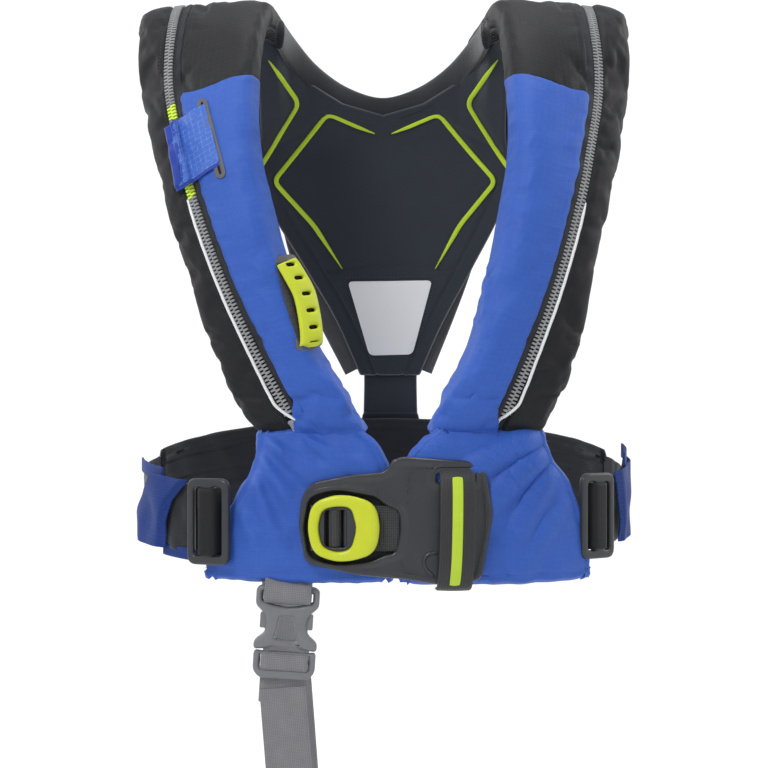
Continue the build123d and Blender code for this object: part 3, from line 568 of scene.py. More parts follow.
def make_camera():
    data = bpy.data.cameras.new("camera")
    data.lens, data.sensor_width = 113.6, 36.0
    data.clip_end = 50
    camera = bpy.data.objects.new("camera", data)
    camera.location = (0.0009, -2.2, -0.310)
    camera.rotation_euler = (math.pi / 2, 0, 0)
    bpy.context.scene.collection.objects.link(camera)
    bpy.context.scene.camera = camera


CROTCH_WIDTH, WEBBING = 40, 2.4
STRAP_START = Vector((-85.5, -134, -569))
STRAP_TURN, STRAP_LEAN = 1.2, -4.5
# Route from the buckle under the crotch and up to the rear tab: distance behind, and height.
STRAP_ROUTE = [(0, -569), (0, -684), (76, -760), (190, -760), (267, -684), (270, -570),
               (264, -462)]


def nurbs_line(name, points):
    """Points read from a smooth NURBS line through the route's control points."""
    curve = bpy.data.curves.new(name, "CURVE")
    curve.dimensions = "3D"
    line = curve.splines.new("NURBS")
    line.points.add(len(points) - 1)
    for point, place in zip(line.points, points):
        point.co = (*[c * MM for c in place], 1)
    line.order_u = 3
    line.use_endpoint_u = True
    line.resolution_u = 16
    obj = bpy.data.objects.new(name, curve)
    bpy.context.scene.collection.objects.link(obj)
    mesh = bpy.data.meshes.new_from_object(obj)
    read = np.array([v.co for v in mesh.vertices]) / MM
    bpy.data.objects.remove(obj)
    bpy.data.meshes.remove(mesh)
    return read


def make_crotch_strap():
    turn, tip = math.radians(STRAP_TURN), math.radians(STRAP_LEAN)
    points = []
    for behind, z in STRAP_ROUTE:
        x, y, z = -math.sin(turn) * behind, math.cos(turn) * behind, z - STRAP_START.z
        points.append(STRAP_START + Vector((x * math.cos(tip) + z * math.sin(tip), y,
                                            -x * math.sin(tip) + z * math.cos(tip))))
    path = nurbs_line("strap_route", points)
    across = np.array([math.cos(turn) * math.cos(tip), math.sin(turn),
                       -math.cos(turn) * math.sin(tip)])
    path = even(path, step=4)
    tangent = unit(np.gradient(path, axis=0))
    out = unit(np.cross(tangent, across))
    rings, uv = band_along(path - out * WEBBING / 2, out, CROTCH_WIDTH, WEBBING, 0.0, 6)
    verts, faces, uv = rings_mesh(rings, uv)
    strap = make_object("crotch_strap_webbing", verts, faces, GREY_WEB, uv, sharp=50)
    face_outwards(strap)
    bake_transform(strap)
    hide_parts("crotch_strap")


# --- horseshoe skin --------------------------------------------------------------------------

STATIONS = np.array([
    (29, -140, -350, 121, -122, -347, 26), (42, -147, -324, 136, -122, -322, 36),
    (66, -151, -275, 154, -116, -272, 43), (87, -149, -214, 170, -104, -212, 45),
    (101, -140, -155, 187, -86, -153, 43), (109, -126, -111, 199, -66, -108, 40),
    (110, -104, -65, 211, -40, -57, 37), (105, -62, -12, 218, -20, -8, 34),
    (99, -4, 24, 219, 16, 15, 32), (86, 46, 16, 206, 52, -9, 28),
    (63, 82, -11, 160, 90, -67, 26), (34, 101, -33, 92, 114, -112, 26),
    (0, 108, -42, 0, 124, -138, 26)], float)
ZIP_SHARE = np.array([0.56, 0.53, 0.54, 0.59, 0.63, 0.65, 0.69, 0.70, 0.70, 0.76, 0.84, 0.88, 0.88])
BACK_MIDDLE = 12
ROUNDNESS = 0.55
LEAN = 14
COLS_FRONT, COLS_SIDE, COLS_BACK = 20, 12, 16
COLS = COLS_FRONT + COLS_SIDE + COLS_BACK
HALF_ROWS = 115
ROWS = HALF_ROWS * 2 + 1
NECK_SEAM, ARM_SEAM = 212, -32


def side_stations(side):
    mirrored = STATIONS[:-1][::-1].copy()
    mirrored[:, [0, 3]] *= -1
    whole = np.concatenate([STATIONS, mirrored])
    whole[:, [0, 3]] *= side
    return whole


def edges_at(whole, s):
    row = spline(whole, s)
    inner, outer = row[:, :3].copy(), row[:, 3:6].copy()
    near = (s < 8) | (s > 2 * BACK_MIDDLE - 8)
    for edge in (inner, outer):
        edge[:, 0] += near * LEAN * np.clip(-edge[:, 2] / 360, 0, 1) ** 1.6
    return inner, outer, row[:, 6]


def signed_power(x):
    return np.sign(x) * np.abs(x) ** ROUNDNESS


def make_skin_points():
    """Grid of points on the cover: rows from the foot of the left lobe, round the neck, to the
    foot of the right one; columns round it from the neck seam, over the zip line, to the arm seam
    and back along the wearer's side."""
    fine = np.linspace(0, BACK_MIDDLE, 600)
    inner, outer, _ = edges_at(side_stations(LEFT), fine)
    centre = (inner + outer) / 2
    run = np.concatenate([[0], np.cumsum(np.linalg.norm(np.diff(centre, axis=0), axis=1))])
    rows_s = np.interp(np.linspace(0, run[-1], HALF_ROWS + 1), run, fine)
    halves = []
    for side in (LEFT, RIGHT):
        whole = side_stations(side)
        inner, outer, thick = edges_at(whole, rows_s)
        before = edges_at(whole, np.maximum(0, rows_s - 0.2))
        after = edges_at(whole, rows_s + 0.2)
        along = (after[0] + after[1] - before[0] - before[1]) / 2
        across = outer - inner
        lateral = unit(across)
        normal = unit(np.cross(across, along)) * side
        share = 2 * spline(ZIP_SHARE, rows_s) - 1
        zip_angle = np.degrees(np.arccos(np.sign(share) * np.abs(share) ** (1 / ROUNDNESS)))
        rows = []
        for i in range(len(rows_s)):
            half_width = np.linalg.norm(across[i]) / 2
            angles = []
            for start, stop, count in ((NECK_SEAM, zip_angle[i], COLS_FRONT),
                                       (zip_angle[i], ARM_SEAM, COLS_SIDE),
                                       (ARM_SEAM, NECK_SEAM - 360, COLS_BACK)):
                try_at = np.linspace(start, stop, 241)
                ring = np.stack([signed_power(np.cos(np.radians(try_at))) * half_width,
                                 signed_power(np.sin(np.radians(try_at))) * thick[i] / 2], 1)
                length = np.concatenate([[0], np.cumsum(np.linalg.norm(np.diff(ring, axis=0),
                                                                       axis=1))])
                angles.append(np.interp(np.linspace(0, length[-1], count + 1)[:-1], length, try_at))
            angle = np.radians(np.concatenate(angles))
            rows.append((inner[i] + outer[i]) / 2
                        + lateral[i] * (signed_power(np.cos(angle)) * half_width)[:, None]
                        + normal[i] * (signed_power(np.sin(angle)) * thick[i] / 2)[:, None])
        halves.append(np.array(rows))
    return rows_s, np.concatenate([halves[0], halves[1][:-1][::-1]])


class Skin:
    """The cover's surface.  A place on it is a row and a column number, both may be fractions."""

    def __init__(self, rows_s, points):
        self.rows_s, self.points = rows_s, points
        self.centre = points.mean(1)
        step = np.linalg.norm(np.diff(np.concatenate([points, points[:, :1]], 1), axis=1), axis=2)
        self.front = step[:, :COLS_FRONT].sum(1)
        self.arm = step[:, COLS_FRONT:COLS_FRONT + COLS_SIDE].sum(1)

    def row(self, side, s):
        r = np.interp(s, self.rows_s, np.arange(HALF_ROWS + 1))
        return r if side == LEFT else ROWS - 1 - r

    def column(self, r, beside_zip):
        """Column at a distance beside the zip line: towards the neck is negative."""
        d = np.asarray(beside_zip, float)
        front = np.interp(r, np.arange(ROWS), self.front)
        arm = np.interp(r, np.arange(ROWS), self.arm)
        return COLS_FRONT + np.where(d < 0, d * COLS_FRONT / front, d * COLS_SIDE / arm)

    def at(self, r, c):
        r, c = np.broadcast_arrays(np.asarray(r, float), np.asarray(c, float))
        j = np.floor(c).astype(int)
        t = (c - j)[..., None]
        i = np.clip(np.floor(r).astype(int), 0, ROWS - 2)
        w = (r - i)[..., None]

        def along(col):
            p = [self.points[np.clip(i + k, 0, ROWS - 1), col % COLS] for k in (-1, 0, 1, 2)]
            return catmull(p, w)
        return catmull([along(j + k) for k in (-1, 0, 1, 2)], t)

    def normal(self, r, c):
        e = 0.35
        along = self.at(np.asarray(r) + e, c) - self.at(np.asarray(r) - e, c)
        across = self.at(r, np.asarray(c) + e) - self.at(r, np.asarray(c) - e)
        return unit(np.cross(across, along))

    def lifted(self, r, c, lift=0.0):
        lift = np.asarray(lift, float)
        return self.at(r, c) + self.normal(r, c) * lift[..., None]


def catmull(p, t):
    p0, p1, p2, p3 = p
    return 0.5 * (2 * p1 + (p2 - p0) * t + (2 * p0 - 5 * p1 + 4 * p2 - p3) * t ** 2
                  + (3 * p1 - p0 - 3 * p2 + p3) * t ** 3)


RELAX_FRAMES = 20
RELAX_CAP = 2.0


def relax_cover(points):
    """Cloth simulation of the filled cover: air pressure from inside, held at the seams, the zip
    line and the wearer's side, with slightly too much cloth so that it wrinkles."""
    faces = grid_faces(ROWS, COLS, False, True)
    obj = make_object("relax", points.reshape(-1, 3), faces, BLUE)
    face_outwards(obj)
    held = np.zeros((ROWS, COLS), bool)
    held[:2] = held[-2:] = True
    held[:, [0, COLS_FRONT - 1, COLS_FRONT, COLS_FRONT + 1, COLS_FRONT + COLS_SIDE]] = True
    held[:, COLS_FRONT + COLS_SIDE:] = True
    group = obj.vertex_groups.new(name="held")
    group.add([int(i) for i in np.flatnonzero(held.ravel())], 1.0, "REPLACE")
    cloth_mod = obj.modifiers.new("cloth", "CLOTH")
    s = cloth_mod.settings
    s.quality = 6
    s.mass = 0.2
    s.tension_stiffness = s.compression_stiffness = 30
    s.shear_stiffness = 10
    s.bending_stiffness = 0.35
    s.use_pressure = True
    s.uniform_pressure_force = 3.2
    s.shrink_min = -0.05
    s.vertex_group_mass = "held"
    s.effector_weights.gravity = 0
    cloth_mod.collision_settings.use_collision = False
    scene = bpy.context.scene
    cloth_mod.point_cache.frame_start, cloth_mod.point_cache.frame_end = 1, RELAX_FRAMES
    for f in range(1, RELAX_FRAMES + 1):
        scene.frame_set(f)
    shaped = obj.evaluated_get(bpy.context.evaluated_depsgraph_get()).to_mesh()
    co = np.empty(len(shaped.vertices) * 3, np.float32)
    shaped.vertices.foreach_get("co", co)
    scene.frame_set(1)
    mesh = obj.data
    bpy.data.objects.remove(obj)
    bpy.data.meshes.remove(mesh)
    moved = co.reshape(ROWS, COLS, 3).astype(float) / MM - points
    size = np.linalg.norm(moved, axis=2, keepdims=True)
    return points + moved * np.tanh(size / RELAX_CAP) * RELAX_CAP / np.maximum(size, 1e-6)


ROWS_S, SKIN_POINTS = make_skin_points()
SKIN_POINTS = relax_cover(SKIN_POINTS)
SKIN = Skin(ROWS_S, SKIN_POINTS)
_n = SKIN.normal(np.array([30.0]), np.array([COLS_FRONT / 2.0]))
_out = SKIN.at(30.0, COLS_FRONT / 2.0) - SKIN.centre[30]
SKIN_SIGN = 1 if float(np.dot(_n[0], _out)) > 0 else -1


def skin_panel(name, side, start, stop, left, right, look, body="harness", across=44, step=3.0,
               crease=0.0, seed=1, lift=0.0, thick=1.6):
    """Panel on the skin.  start and stop give the station at a share of the panel's width; left
    and right give its two edges as columns, at a row."""
    share = np.linspace(0, 1, across)
    s0, s1 = start(share), stop(share)
    length = 62 * np.mean(s1 - s0)
    rows = max(4, int(length / step))
    t = np.linspace(0, 1, rows)[:, None]
    r = SKIN.row(side, mix(s0, s1, t))
    c = mix(left(r), right(r), share)
    edge = np.minimum(share, 1 - share) * np.linalg.norm(SKIN.at(r[0], c[0])[0] -
                                                         SKIN.at(r[0], c[0])[-1])
    ends = np.minimum(t, 1 - t) * length
    groove = -0.9 * bell(edge, 1.6) - 0.9 * bell(ends, 1.8)
    calm = smooth(0.5, 7, np.minimum(edge, ends))
    puckers = crease * calm * (bell(edge - 5, 7) * ripple(r * 6.5, c * 0.8, 15, seed, 2)
                               + 0.8 * bell(ends - 5, 9) * ripple(c * 5.0, r * 0.6, 17, seed + 1, 2)
                               + 0.6 * ripple(r * 6.5, c * 5.0, 55, seed + 2, 2))
    rise = lift(mix(s0, s1, t)) if callable(lift) else lift
    p = SKIN.lifted(r, c, (groove + puckers + rise) * SKIN_SIGN)
    obj = sheet_object(name, p, look, thick, flip=False)
    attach(obj, body)
    return obj, r, c


def seam_path(side, s0, s1, column, lift, step=0.02):
    s = np.arange(s0, s1, step)
    r = SKIN.row(side, s)
    c = column(r)
    return SKIN.lifted(r, c, np.full(len(r), lift) * SKIN_SIGN), SKIN.normal(r, c) * SKIN_SIGN


BLUE_TOP_NECK, BLUE_TOP_ARM = 6.46, 5.94
SHOULDER_END = 9.5
BLUE_UPRIGHT = {LEFT: -76.0, RIGHT: 96.0}
BLUE_EDGE, TAPE_EDGE = -12.0, 5.4


def blue_top(u):
    """Station of the blue panel's top edge, from the neck side (0) to the zip side (1)."""
    return mix(BLUE_TOP_NECK, BLUE_TOP_ARM, smooth(0.0, 1.0, u))


def blue_edge(side):
    """The blue panel's edge beside the zip: an upright edge crosses over the zip's end."""
    def column(r):
        return np.maximum(SKIN.column(r, BLUE_EDGE), upright_column(r, BLUE_UPRIGHT[side]))
    return column


def upright_column(r, x):
    """Column of the lobe's front where it passes a sideways place."""
    columns = np.linspace(4, COLS_FRONT + 3, 60)
    rows = np.asarray(r, float)[..., None] + 0 * columns
    places = SKIN.at(rows, columns + 0 * rows)[..., 0]
    near = np.argmin(np.abs(places - x), -1)
    return columns[near]


def constant(value):
    return lambda u: np.full_like(np.asarray(u, float), value)


def beside(distance):
    return lambda r: SKIN.column(r, distance)


def make_cover():
    zero = constant(0.0)
    for name, side, seed in (("left", LEFT, 3), ("right", RIGHT, 23)):
        panel, _, _ = skin_panel(f"cover_front_{name}", side, zero, blue_top, zero,
                                 blue_edge(side), BLUE, across=54, crease=0.9, seed=seed,
                                 lift=lambda s: 2.6 * smooth(2.0, 1.0, s))
        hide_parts(f"front_panel_{name}")
        panel, _, _ = skin_panel(f"cover_shoulder_{name}", side, lambda u: blue_top(u) - 0.05,
                                 constant(SHOULDER_END), zero, beside(BLUE_EDGE), BLACK,
                                 crease=1.0, seed=seed + 5, lift=-0.7)
        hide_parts(f"shoulder_panel_{name}")
        panel, _, _ = skin_panel(f"cover_side_{name}", side, zero, constant(SHOULDER_END),
                                 beside(TAPE_EDGE - 1), constant(COLS_FRONT + COLS_SIDE),
                                 BLACK_CLOTH_AND_SHADE, crease=0.8, seed=seed + 9, across=30)
        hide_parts(f"side_gusset_{name}")
        panel, _, _ = skin_panel(f"cover_back_{name}", side, zero, constant(SHOULDER_END),
                                 constant(COLS_FRONT + COLS_SIDE), constant(COLS), SPACER,
                                 seed=seed + 13, across=36, crease=0.3)
        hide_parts(f"backing_panel_{name}")
        for label, edge, lift in (("tape_neck", (BLUE_EDGE - 1.5, -3.6), -0.3),
                                  ("tape_base", (-3.9, 3.9), -1.7),
                                  ("tape_arm", (3.6, TAPE_EDGE), -0.3)):
            tape, _, _ = skin_panel(f"zip_{label}_{name}", side, constant(0.1),
                                    constant(SHOULDER_END), beside(edge[0]), beside(edge[1]), TAPE,
                                    across=8, lift=lift, thick=1.0)
        for label, d, s0, s1 in (("neck", -6.6, 0.9, 9.4), ("arm", 8.8, 0.5, 9.4)):
            path, normals = seam_path(side, s0, s1, beside(d), 0.2)
            row = stitches(f"zip_stitch_{label}_{name}", path, normals, THREAD, 3.4, 2.2, 0.5)
            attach(row, "harness")
        path, normals = seam_path(side, 0.5, 6.0, lambda r: blue_edge(side)(r) - 0.5, 0.3)
        row = stitches(f"blue_stitch_{name}", path, normals, BLUE_THREAD, 3.4, 2.2, 0.4)
        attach(row, "harness")
    make_neck_cover()
    make_piping()
    make_bladder()


def neck_rows():
    first = SKIN.row(LEFT, SHOULDER_END)
    return np.linspace(first, ROWS - 1 - first, 150)[:, None]


def make_neck_cover():
    r = neck_rows()
    u = np.linspace(0, 1, 96)
    c = mix(SKIN.column(r, 3.2), SKIN.column(r, -3.2) + COLS, u)
    ends = np.minimum(np.linspace(0, 1, len(r)), np.linspace(1, 0, len(r)))[:, None] * 420
    lift = -0.8 * bell(ends, 1.8) + 0.8 * ripple(r * 6.0, c * 5.0, 40, 61, 3) * bell(ends, 400)
    obj = sheet_object("cover_neck", SKIN.lifted(r, c, lift * SKIN_SIGN), BLACK, 1.6)
    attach(obj, "harness")
    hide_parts("neck_cover")


def make_piping():
    parts = []
    for side in (LEFT, RIGHT):
        s = np.arange(0.45, 4.0, 0.02)
        r = SKIN.row(side, s)
        away = mix(-7.0, 5.6 + 2.6 * bell(s - 1.05, 0.5), smooth(0.42, 1.0, s))
        c = SKIN.column(r, away)
        lift = mix(0.8, -0.6, smooth(3.7, 4.0, s)) * SKIN_SIGN
        line = SKIN.lifted(r, c, lift)
        shown = (line[:, 0] - BLUE_UPRIGHT[side]) * side > -4
        rings = round_rings(line[shown], 1.45, 10, SKIN.normal(r, c)[shown])
        parts.append(rings_mesh(rings))
    obj = merged("reflective_cord_piping", parts, PIPING)
    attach(obj, "harness")
    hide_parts("reflective_piping")


def make_bladder():
    """Folded bladder inside the cover, seen only where the cover opens."""
    r = np.linspace(SKIN.row(LEFT, 0.5), SKIN.row(RIGHT, 0.5), 260)[:, None]
    c = np.linspace(1.5, COLS_FRONT + COLS_SIDE - 1.5, 40)[None]
    inset = -5.0 - 1.2 * np.abs(np.sin(c * 0.9)) + 0.6 * ripple(r * 6, c * 5, 40, 9, 2)
    top = SKIN.lifted(r, c, inset * SKIN_SIGN)
    c2 = np.linspace(COLS_FRONT + COLS_SIDE + 2.0, COLS - 2.0, 30)[None]
    low = SKIN.lifted(r, c2, (-5.0 + 0 * r) * SKIN_SIGN)
    rings = np.concatenate([top, low], 1)
    verts, faces, _ = rings_mesh(rings)
    obj = make_object("bladder_folded", verts, faces, BLADDER)
    face_outwards(obj)
    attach(obj, "harness")
    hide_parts("bladder")


# --- zip -------------------------------------------------------------------------------------

TOOTH = np.array([
    (-0.6, -0.98, 0), (4.3, -0.85, 0), (4.3, 0.85, 0), (-0.6, 0.98, 0),
    (-0.6, -0.98, 1.7), (0.0, -0.8, 2.3), (3.8, -0.7, 2.2), (4.4, -0.75, 1.4),
    (-0.6, 0.98, 1.7), (0.0, 0.8, 2.3), (3.8, 0.7, 2.2), (4.4, 0.75, 1.4)])
TOOTH_FACES = [(4, 5, 9, 8), (5, 6, 10, 9), (6, 7, 11, 10), (0, 4, 8, 3), (1, 2, 11, 7),
               (0, 1, 7, 4), (4, 7, 6, 5), (3, 8, 11, 2), (8, 9, 10, 11), (0, 3, 2, 1)]
TOOTH_PITCH = 3.4
WEAK = [(4.02, 4.3), (5.46, 5.7)]


def make_zip():
    r = np.linspace(SKIN.row(LEFT, 0.3), SKIN.row(RIGHT, 0.3), 3000)
    centre = SKIN.at(r, np.full_like(r, COLS_FRONT))
    both = even(np.concatenate([centre, r[:, None]], 1)[:, :3], step=TOOTH_PITCH / 2)
    run = np.concatenate([[0], np.cumsum(np.linalg.norm(np.diff(centre, axis=0), axis=1))])
    rows = np.interp(np.linspace(0, run[-1], len(both)), run, r)
    c = np.full_like(rows, COLS_FRONT)
    normal = SKIN.normal(rows, c) * SKIN_SIGN
    origin = SKIN.at(rows, c) - normal * 0.9
    tangent = unit(np.gradient(origin, axis=0))
    side = unit(np.cross(tangent, normal))
    station = np.where(rows <= HALF_ROWS, np.interp(rows, np.arange(HALF_ROWS + 1), ROWS_S), 99)
    open_end = np.ones(len(rows), bool)
    for way, x in BLUE_UPRIGHT.items():
        past = (origin[:, 2] < -300) & ((origin[:, 0] - x) * way < -3)
        open_end &= ~(past & (origin[:, 0] * way > 0))
    open_end &= origin[:, 2] > -336
    weak = np.zeros(len(rows), bool)
    for low, high in WEAK:
        weak |= (station > low) & (station < high)
    for label, mask, look, slot in (("grey", ~weak, ZIP_GREY, "zip_grey"),
                                    ("lime", weak, ZIP_LIME, "lime_print")):
        origins, axes = [], []
        for parity, way in ((0, 1), (1, -1)):
            pick = mask & open_end & (np.arange(len(rows)) % 2 == parity)
            origins.append(origin[pick])
            axes.append(np.stack([side[pick] * way, tangent[pick] * 1.15, normal[pick]], 1))
        teeth = scattered(f"zip_teeth_{label}", TOOTH, TOOTH_FACES, np.concatenate(origins),
                          np.concatenate(axes), look, 35)
        face_outwards(teeth)
        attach(teeth, "harness")
        if label == "grey":
            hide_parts("burst_zip")


# --- studio ----------------------------------------------------------------------------------

def make_studio():
    floor_z = cad_low.z / MM - 70
    rings = [(0, 0), (1500, 0), (3600, 0), (4600, 60), (5400, 420), (5900, 1200), (6000, 2400),
             (6000, 4600)]
    profile = curve_through(rings, 40)
    angle = np.linspace(0, 2 * math.pi, 96, endpoint=False)
    p = np.stack([profile[:, None, 0] * np.cos(angle), profile[:, None, 0] * np.sin(angle),
                  np.repeat(profile[:, 1:] + floor_z, len(angle), 1)], -1)
    # The floor and backdrop glow and so light the scene, more brightly behind the jacket than in
    # front of it.
    k = Look("pale_floor")
    speck = k.noise(k.place(False), 0.02, 2.0)
    look = k.finish(k.mix(k.ramp(speck, 0, 1, 0, 0.03), linear(186, 187, 188),
                          linear(176, 178, 180)), 0.9, Emission_Color=(1, 1, 1, 1),
                    Emission_Strength=k.ramp(k.depth_in(), -2.5, 2.5, 0.26, 0.62))
    floor = make_object("studio_floor", p.reshape(-1, 3), grid_faces(*p.shape[:2], False, True),
                        look)
    world = bpy.data.worlds.new("studio")
    world.use_nodes = True
    background = world.node_tree.nodes["Background"]
    background.inputs[0].default_value = (1, 1, 1, 1)
    background.inputs[1].default_value = 0.5
    bpy.context.scene.world = world
    for name, place, power, size in (
            ("key", (-1.3, -1.9, 1.7), 40, 0.8), ("fill", (1.9, -2.2, 0.2), 5, 1.6),
            ("top", (0.2, 0.1, 2.4), 26, 1.0), ("rim_left", (-2.2, 0.9, 0.8), 14, 1.0),
            ("rim_right", (2.2, 0.9, 0.8), 14, 1.0)):
        data = bpy.data.lights.new(name, "AREA")
        data.energy, data.size = power, size
        lamp = bpy.data.objects.new(name, data)
        lamp.location = place
        aim = Vector((0, 0, -0.3)) - lamp.location
        lamp.rotation_euler = aim.to_track_quat("-Z", "Y").to_euler()
        bpy.context.scene.collection.objects.link(lamp)
    bpy.context.scene.view_settings.view_transform = "Standard"


# --- shapes laid on a surface ----------------------------------------------------------------

def rounded(corners, radius, steps=5):
    """Closed outline with rounded corners; radius is one number or one for each corner."""
    corners = np.asarray(corners, float)
    radii = np.broadcast_to(radius, (len(corners),))
    outline = []
    for i, corner in enumerate(corners):
        a, b = unit(corners[i - 1] - corner), unit(corners[(i + 1) % len(corners)] - corner)
        reach = min(radii[i], 0.48 * min(np.linalg.norm(corners[i - 1] - corner),
                                         np.linalg.norm(corners[(i + 1) % len(corners)] - corner)))
        for t in np.linspace(0, 1, steps):
            p, q = corner + a * reach * (1 - t), corner + b * reach * t
            outline.append(mix(p, q, t))
    return np.array(outline)


def stadium(start, stop, half, steps=7):
    start, stop = np.asarray(start, float), np.asarray(stop, float)
    way = unit(stop - start)
    side = np.array([-way[1], way[0]])
    angle = np.linspace(0, math.pi, steps)
    cap1 = [stop + (side * math.cos(a) + way * math.sin(a)) * half for a in angle]
    cap0 = [start + (-side * math.cos(a) - way * math.sin(a)) * half for a in angle]
    return np.array(cap1 + cap0)


def offset_band(line, half, end_round=2.0):
    """Outline of a band of a given half width about a line."""
    line = np.asarray(line, float)
    way = unit(np.gradient(line, axis=0))
    side = np.stack([-way[:, 1], way[:, 0]], 1)
    outline = np.concatenate([line + side * half, (line - side * half)[::-1]])
    keep = np.full(len(outline), 0.5)
    keep[[0, len(line) - 1, len(line), -1]] = end_round
    return rounded(outline, keep, 3)


def distance_to(outline, points):
    a, b = outline, np.roll(outline, -1, 0)
    way = b - a
    best = np.full(len(points), 1e9)
    for p, d in zip(a, way):
        t = np.clip(((points - p) @ d) / max(d @ d, 1e-9), 0, 1)
        best = np.minimum(best, np.linalg.norm(points - p - t[:, None] * d, axis=1))
    return best


def moulded(name, loops, depth, bevel, look, warp, cut=4.0, relief=None, cut_rows=True,
            sharp=38):
    """Plate with rounded rims and holes: the first loop is its outline.  It is cut into a grid
    and warped: warp(x, z, height) gives points."""
    curve = bpy.data.curves.new(name, "CURVE")
    curve.dimensions, curve.fill_mode = "2D", "BOTH"
    curve.extrude, curve.bevel_depth = (depth / 2 - bevel) * MM, bevel * MM
    curve.offset, curve.bevel_resolution = -bevel * MM, 2
    for loop in loops:
        line = curve.splines.new("POLY")
        line.points.add(len(loop) - 1)
        for point, (x, y) in zip(line.points, loop):
            point.co = (x * MM, y * MM, 0, 1)
        line.use_cyclic_u = True
    obj = bpy.data.objects.new(name + "_flat", curve)
    bpy.context.scene.collection.objects.link(obj)
    flat = bpy.data.meshes.new_from_object(obj)
    bpy.data.objects.remove(obj)
    bm = bmesh.new()
    bm.from_mesh(flat)
    bpy.data.meshes.remove(flat)
    bmesh.ops.remove_doubles(bm, verts=bm.verts, dist=1e-6)
    low, high = np.min(loops[0], 0), np.max(loops[0], 0)
    for axis in ((0, 1) if cut_rows else (0,)):
        for value in np.arange(low[axis] + cut / 2, high[axis], cut):
            normal = (1, 0, 0) if axis == 0 else (0, 1, 0)
            bmesh.ops.bisect_plane(bm, geom=bm.verts[:] + bm.edges[:] + bm.faces[:],
                                   plane_co=[c * value * MM for c in normal], plane_no=normal,
                                   dist=1e-7)
    mesh = bpy.data.meshes.new(name)
    bm.to_mesh(mesh)
    bm.free()
    co = np.empty(len(mesh.vertices) * 3, np.float32)
    mesh.vertices.foreach_get("co", co)
    co = co.reshape(-1, 3).astype(float) / MM
    height = co[:, 2] + depth / 2
    if relief is not None:
        top = smooth(depth * 0.35, depth * 0.65, height)
        edge = np.min([distance_to(np.asarray(loop), co[:, :2]) for loop in loops], 0)
        height = height + top * relief(co[:, 0], co[:, 1], edge)
    placed = warp(co[:, 0], co[:, 1], height)
    mesh.vertices.foreach_set("co", (placed * MM).astype(np.float32).ravel())
    corners = np.empty(len(mesh.loops), np.int32)
    mesh.loops.foreach_get("vertex_index", corners)
    layer = mesh.uv_layers.get("flat") or mesh.uv_layers.new(name="flat")
    layer.data.foreach_set("uv", (co[corners, :2] * MM).astype(np.float32).ravel())
    mesh.materials.clear()
    mesh.materials.append(look)
    mesh.update()
    made = bpy.data.objects.new(name, mesh)
    bpy.context.scene.collection.objects.link(made)
    face_outwards(made)
    mesh.shade_smooth()
    mesh.set_sharp_from_angle(angle=math.radians(sharp))
    return made


def surface_of(*objects):
    """Search tree of the shown surface of some objects, in millimetres."""
    verts, faces = [], []
    for obj in objects:
        start = len(verts)
        verts += [obj.matrix_world @ v.co / MM for v in obj.data.vertices]
        faces += [[v + start for v in p.vertices] for p in obj.data.polygons]
    return BVHTree.FromPolygons(verts, faces)


def front_of(tree, x, z):
    """Depth of a surface's front at places seen from the front."""
    depth = np.empty(len(x))
    for i, (px, pz) in enumerate(zip(x, z)):
        hit = tree.ray_cast(Vector((px, -400, pz)), Vector((0, 1, 0)))[0]
        if hit is None:
            hit = tree.find_nearest(Vector((px, -160, pz)))[0]
        depth[i] = hit.y
    return depth


def fitted_front(tree, low, high):
    """Smooth surface through a patch of a shown surface, good a little way past its edge too."""
    def terms(x, z):
        u, v = (x - low[0]) / 40, (z - low[1]) / 40
        return np.stack([1 + 0 * u, u, v, u * u, u * v, v * v, v ** 3], -1)
    rows, depths = [], []
    for x in np.arange(low[0], high[0], 3.0):
        for z in np.arange(low[1], high[1], 3.0):
            hit = tree.ray_cast(Vector((x, -400, z)), Vector((0, 1, 0)))[0]
            if hit is not None:
                rows.append(terms(np.float64(x), np.float64(z)))
                depths.append(hit.y)
    depths = np.array(depths)
    keep = depths < np.median(depths) + 25
    fit = np.linalg.lstsq(np.array(rows)[keep], depths[keep], rcond=None)[0]
    return lambda x, z: terms(x, z) @ fit


def laid_on(tree, direction, lift=0.0):
    """Warp that lays a flat shape on a surface and thickens it along a direction."""
    direction = unit(direction)

    def warp(x, z, height):
        front = tree(x, z) if callable(tree) else front_of(tree, x, z)
        base = np.stack([x, front, z], 1)
        amount = lift(x, z) if callable(lift) else lift
        return base + direction * (height + amount)[:, None]
    return warp


def mean_direction(tree, x, z):
    hit = tree.ray_cast(Vector((x, -400, z)), Vector((0, 1, 0)))
    return np.array(hit[1]) * (1 if hit[1].y < 0 else -1)


# --- burst tab, pull handle ------------------------------------------------------------------

TAB_CORNERS = np.array([(-187, -90), (-154, -68.5), (-139, -120.5), (-175, -143.5)], float)
SLOT_LINE = ((-156, -67.5), (-138, -131))
HANDLE_LINE = [(-83.6, -206.5), (-76.6, -220.4), (-70.1, -233.6), (-66.3, -248.6), (-63.3, -264),
               (-61.4, -276.5)]
HANDLE_SLOTS = [(-81, -209.5), (-74.8, -221), (-68.7, -234.4), (-64.8, -248.6), (-62, -262.6),
                (-59.8, -275.6)]
HOOK_LINE = [(-85, -207), (-77.5, -238), (-66.5, -273)]
HANDLE_PATCHES = {
    "top": [(-95, -217), (-93, -205), (-84, -200.5), (-76, -200.5), (-74, -207), (-84, -220)],
    "low": [(-74.5, -270), (-74.5, -282), (-66, -283.5), (-53, -278), (-52, -272), (-60, -268)]}


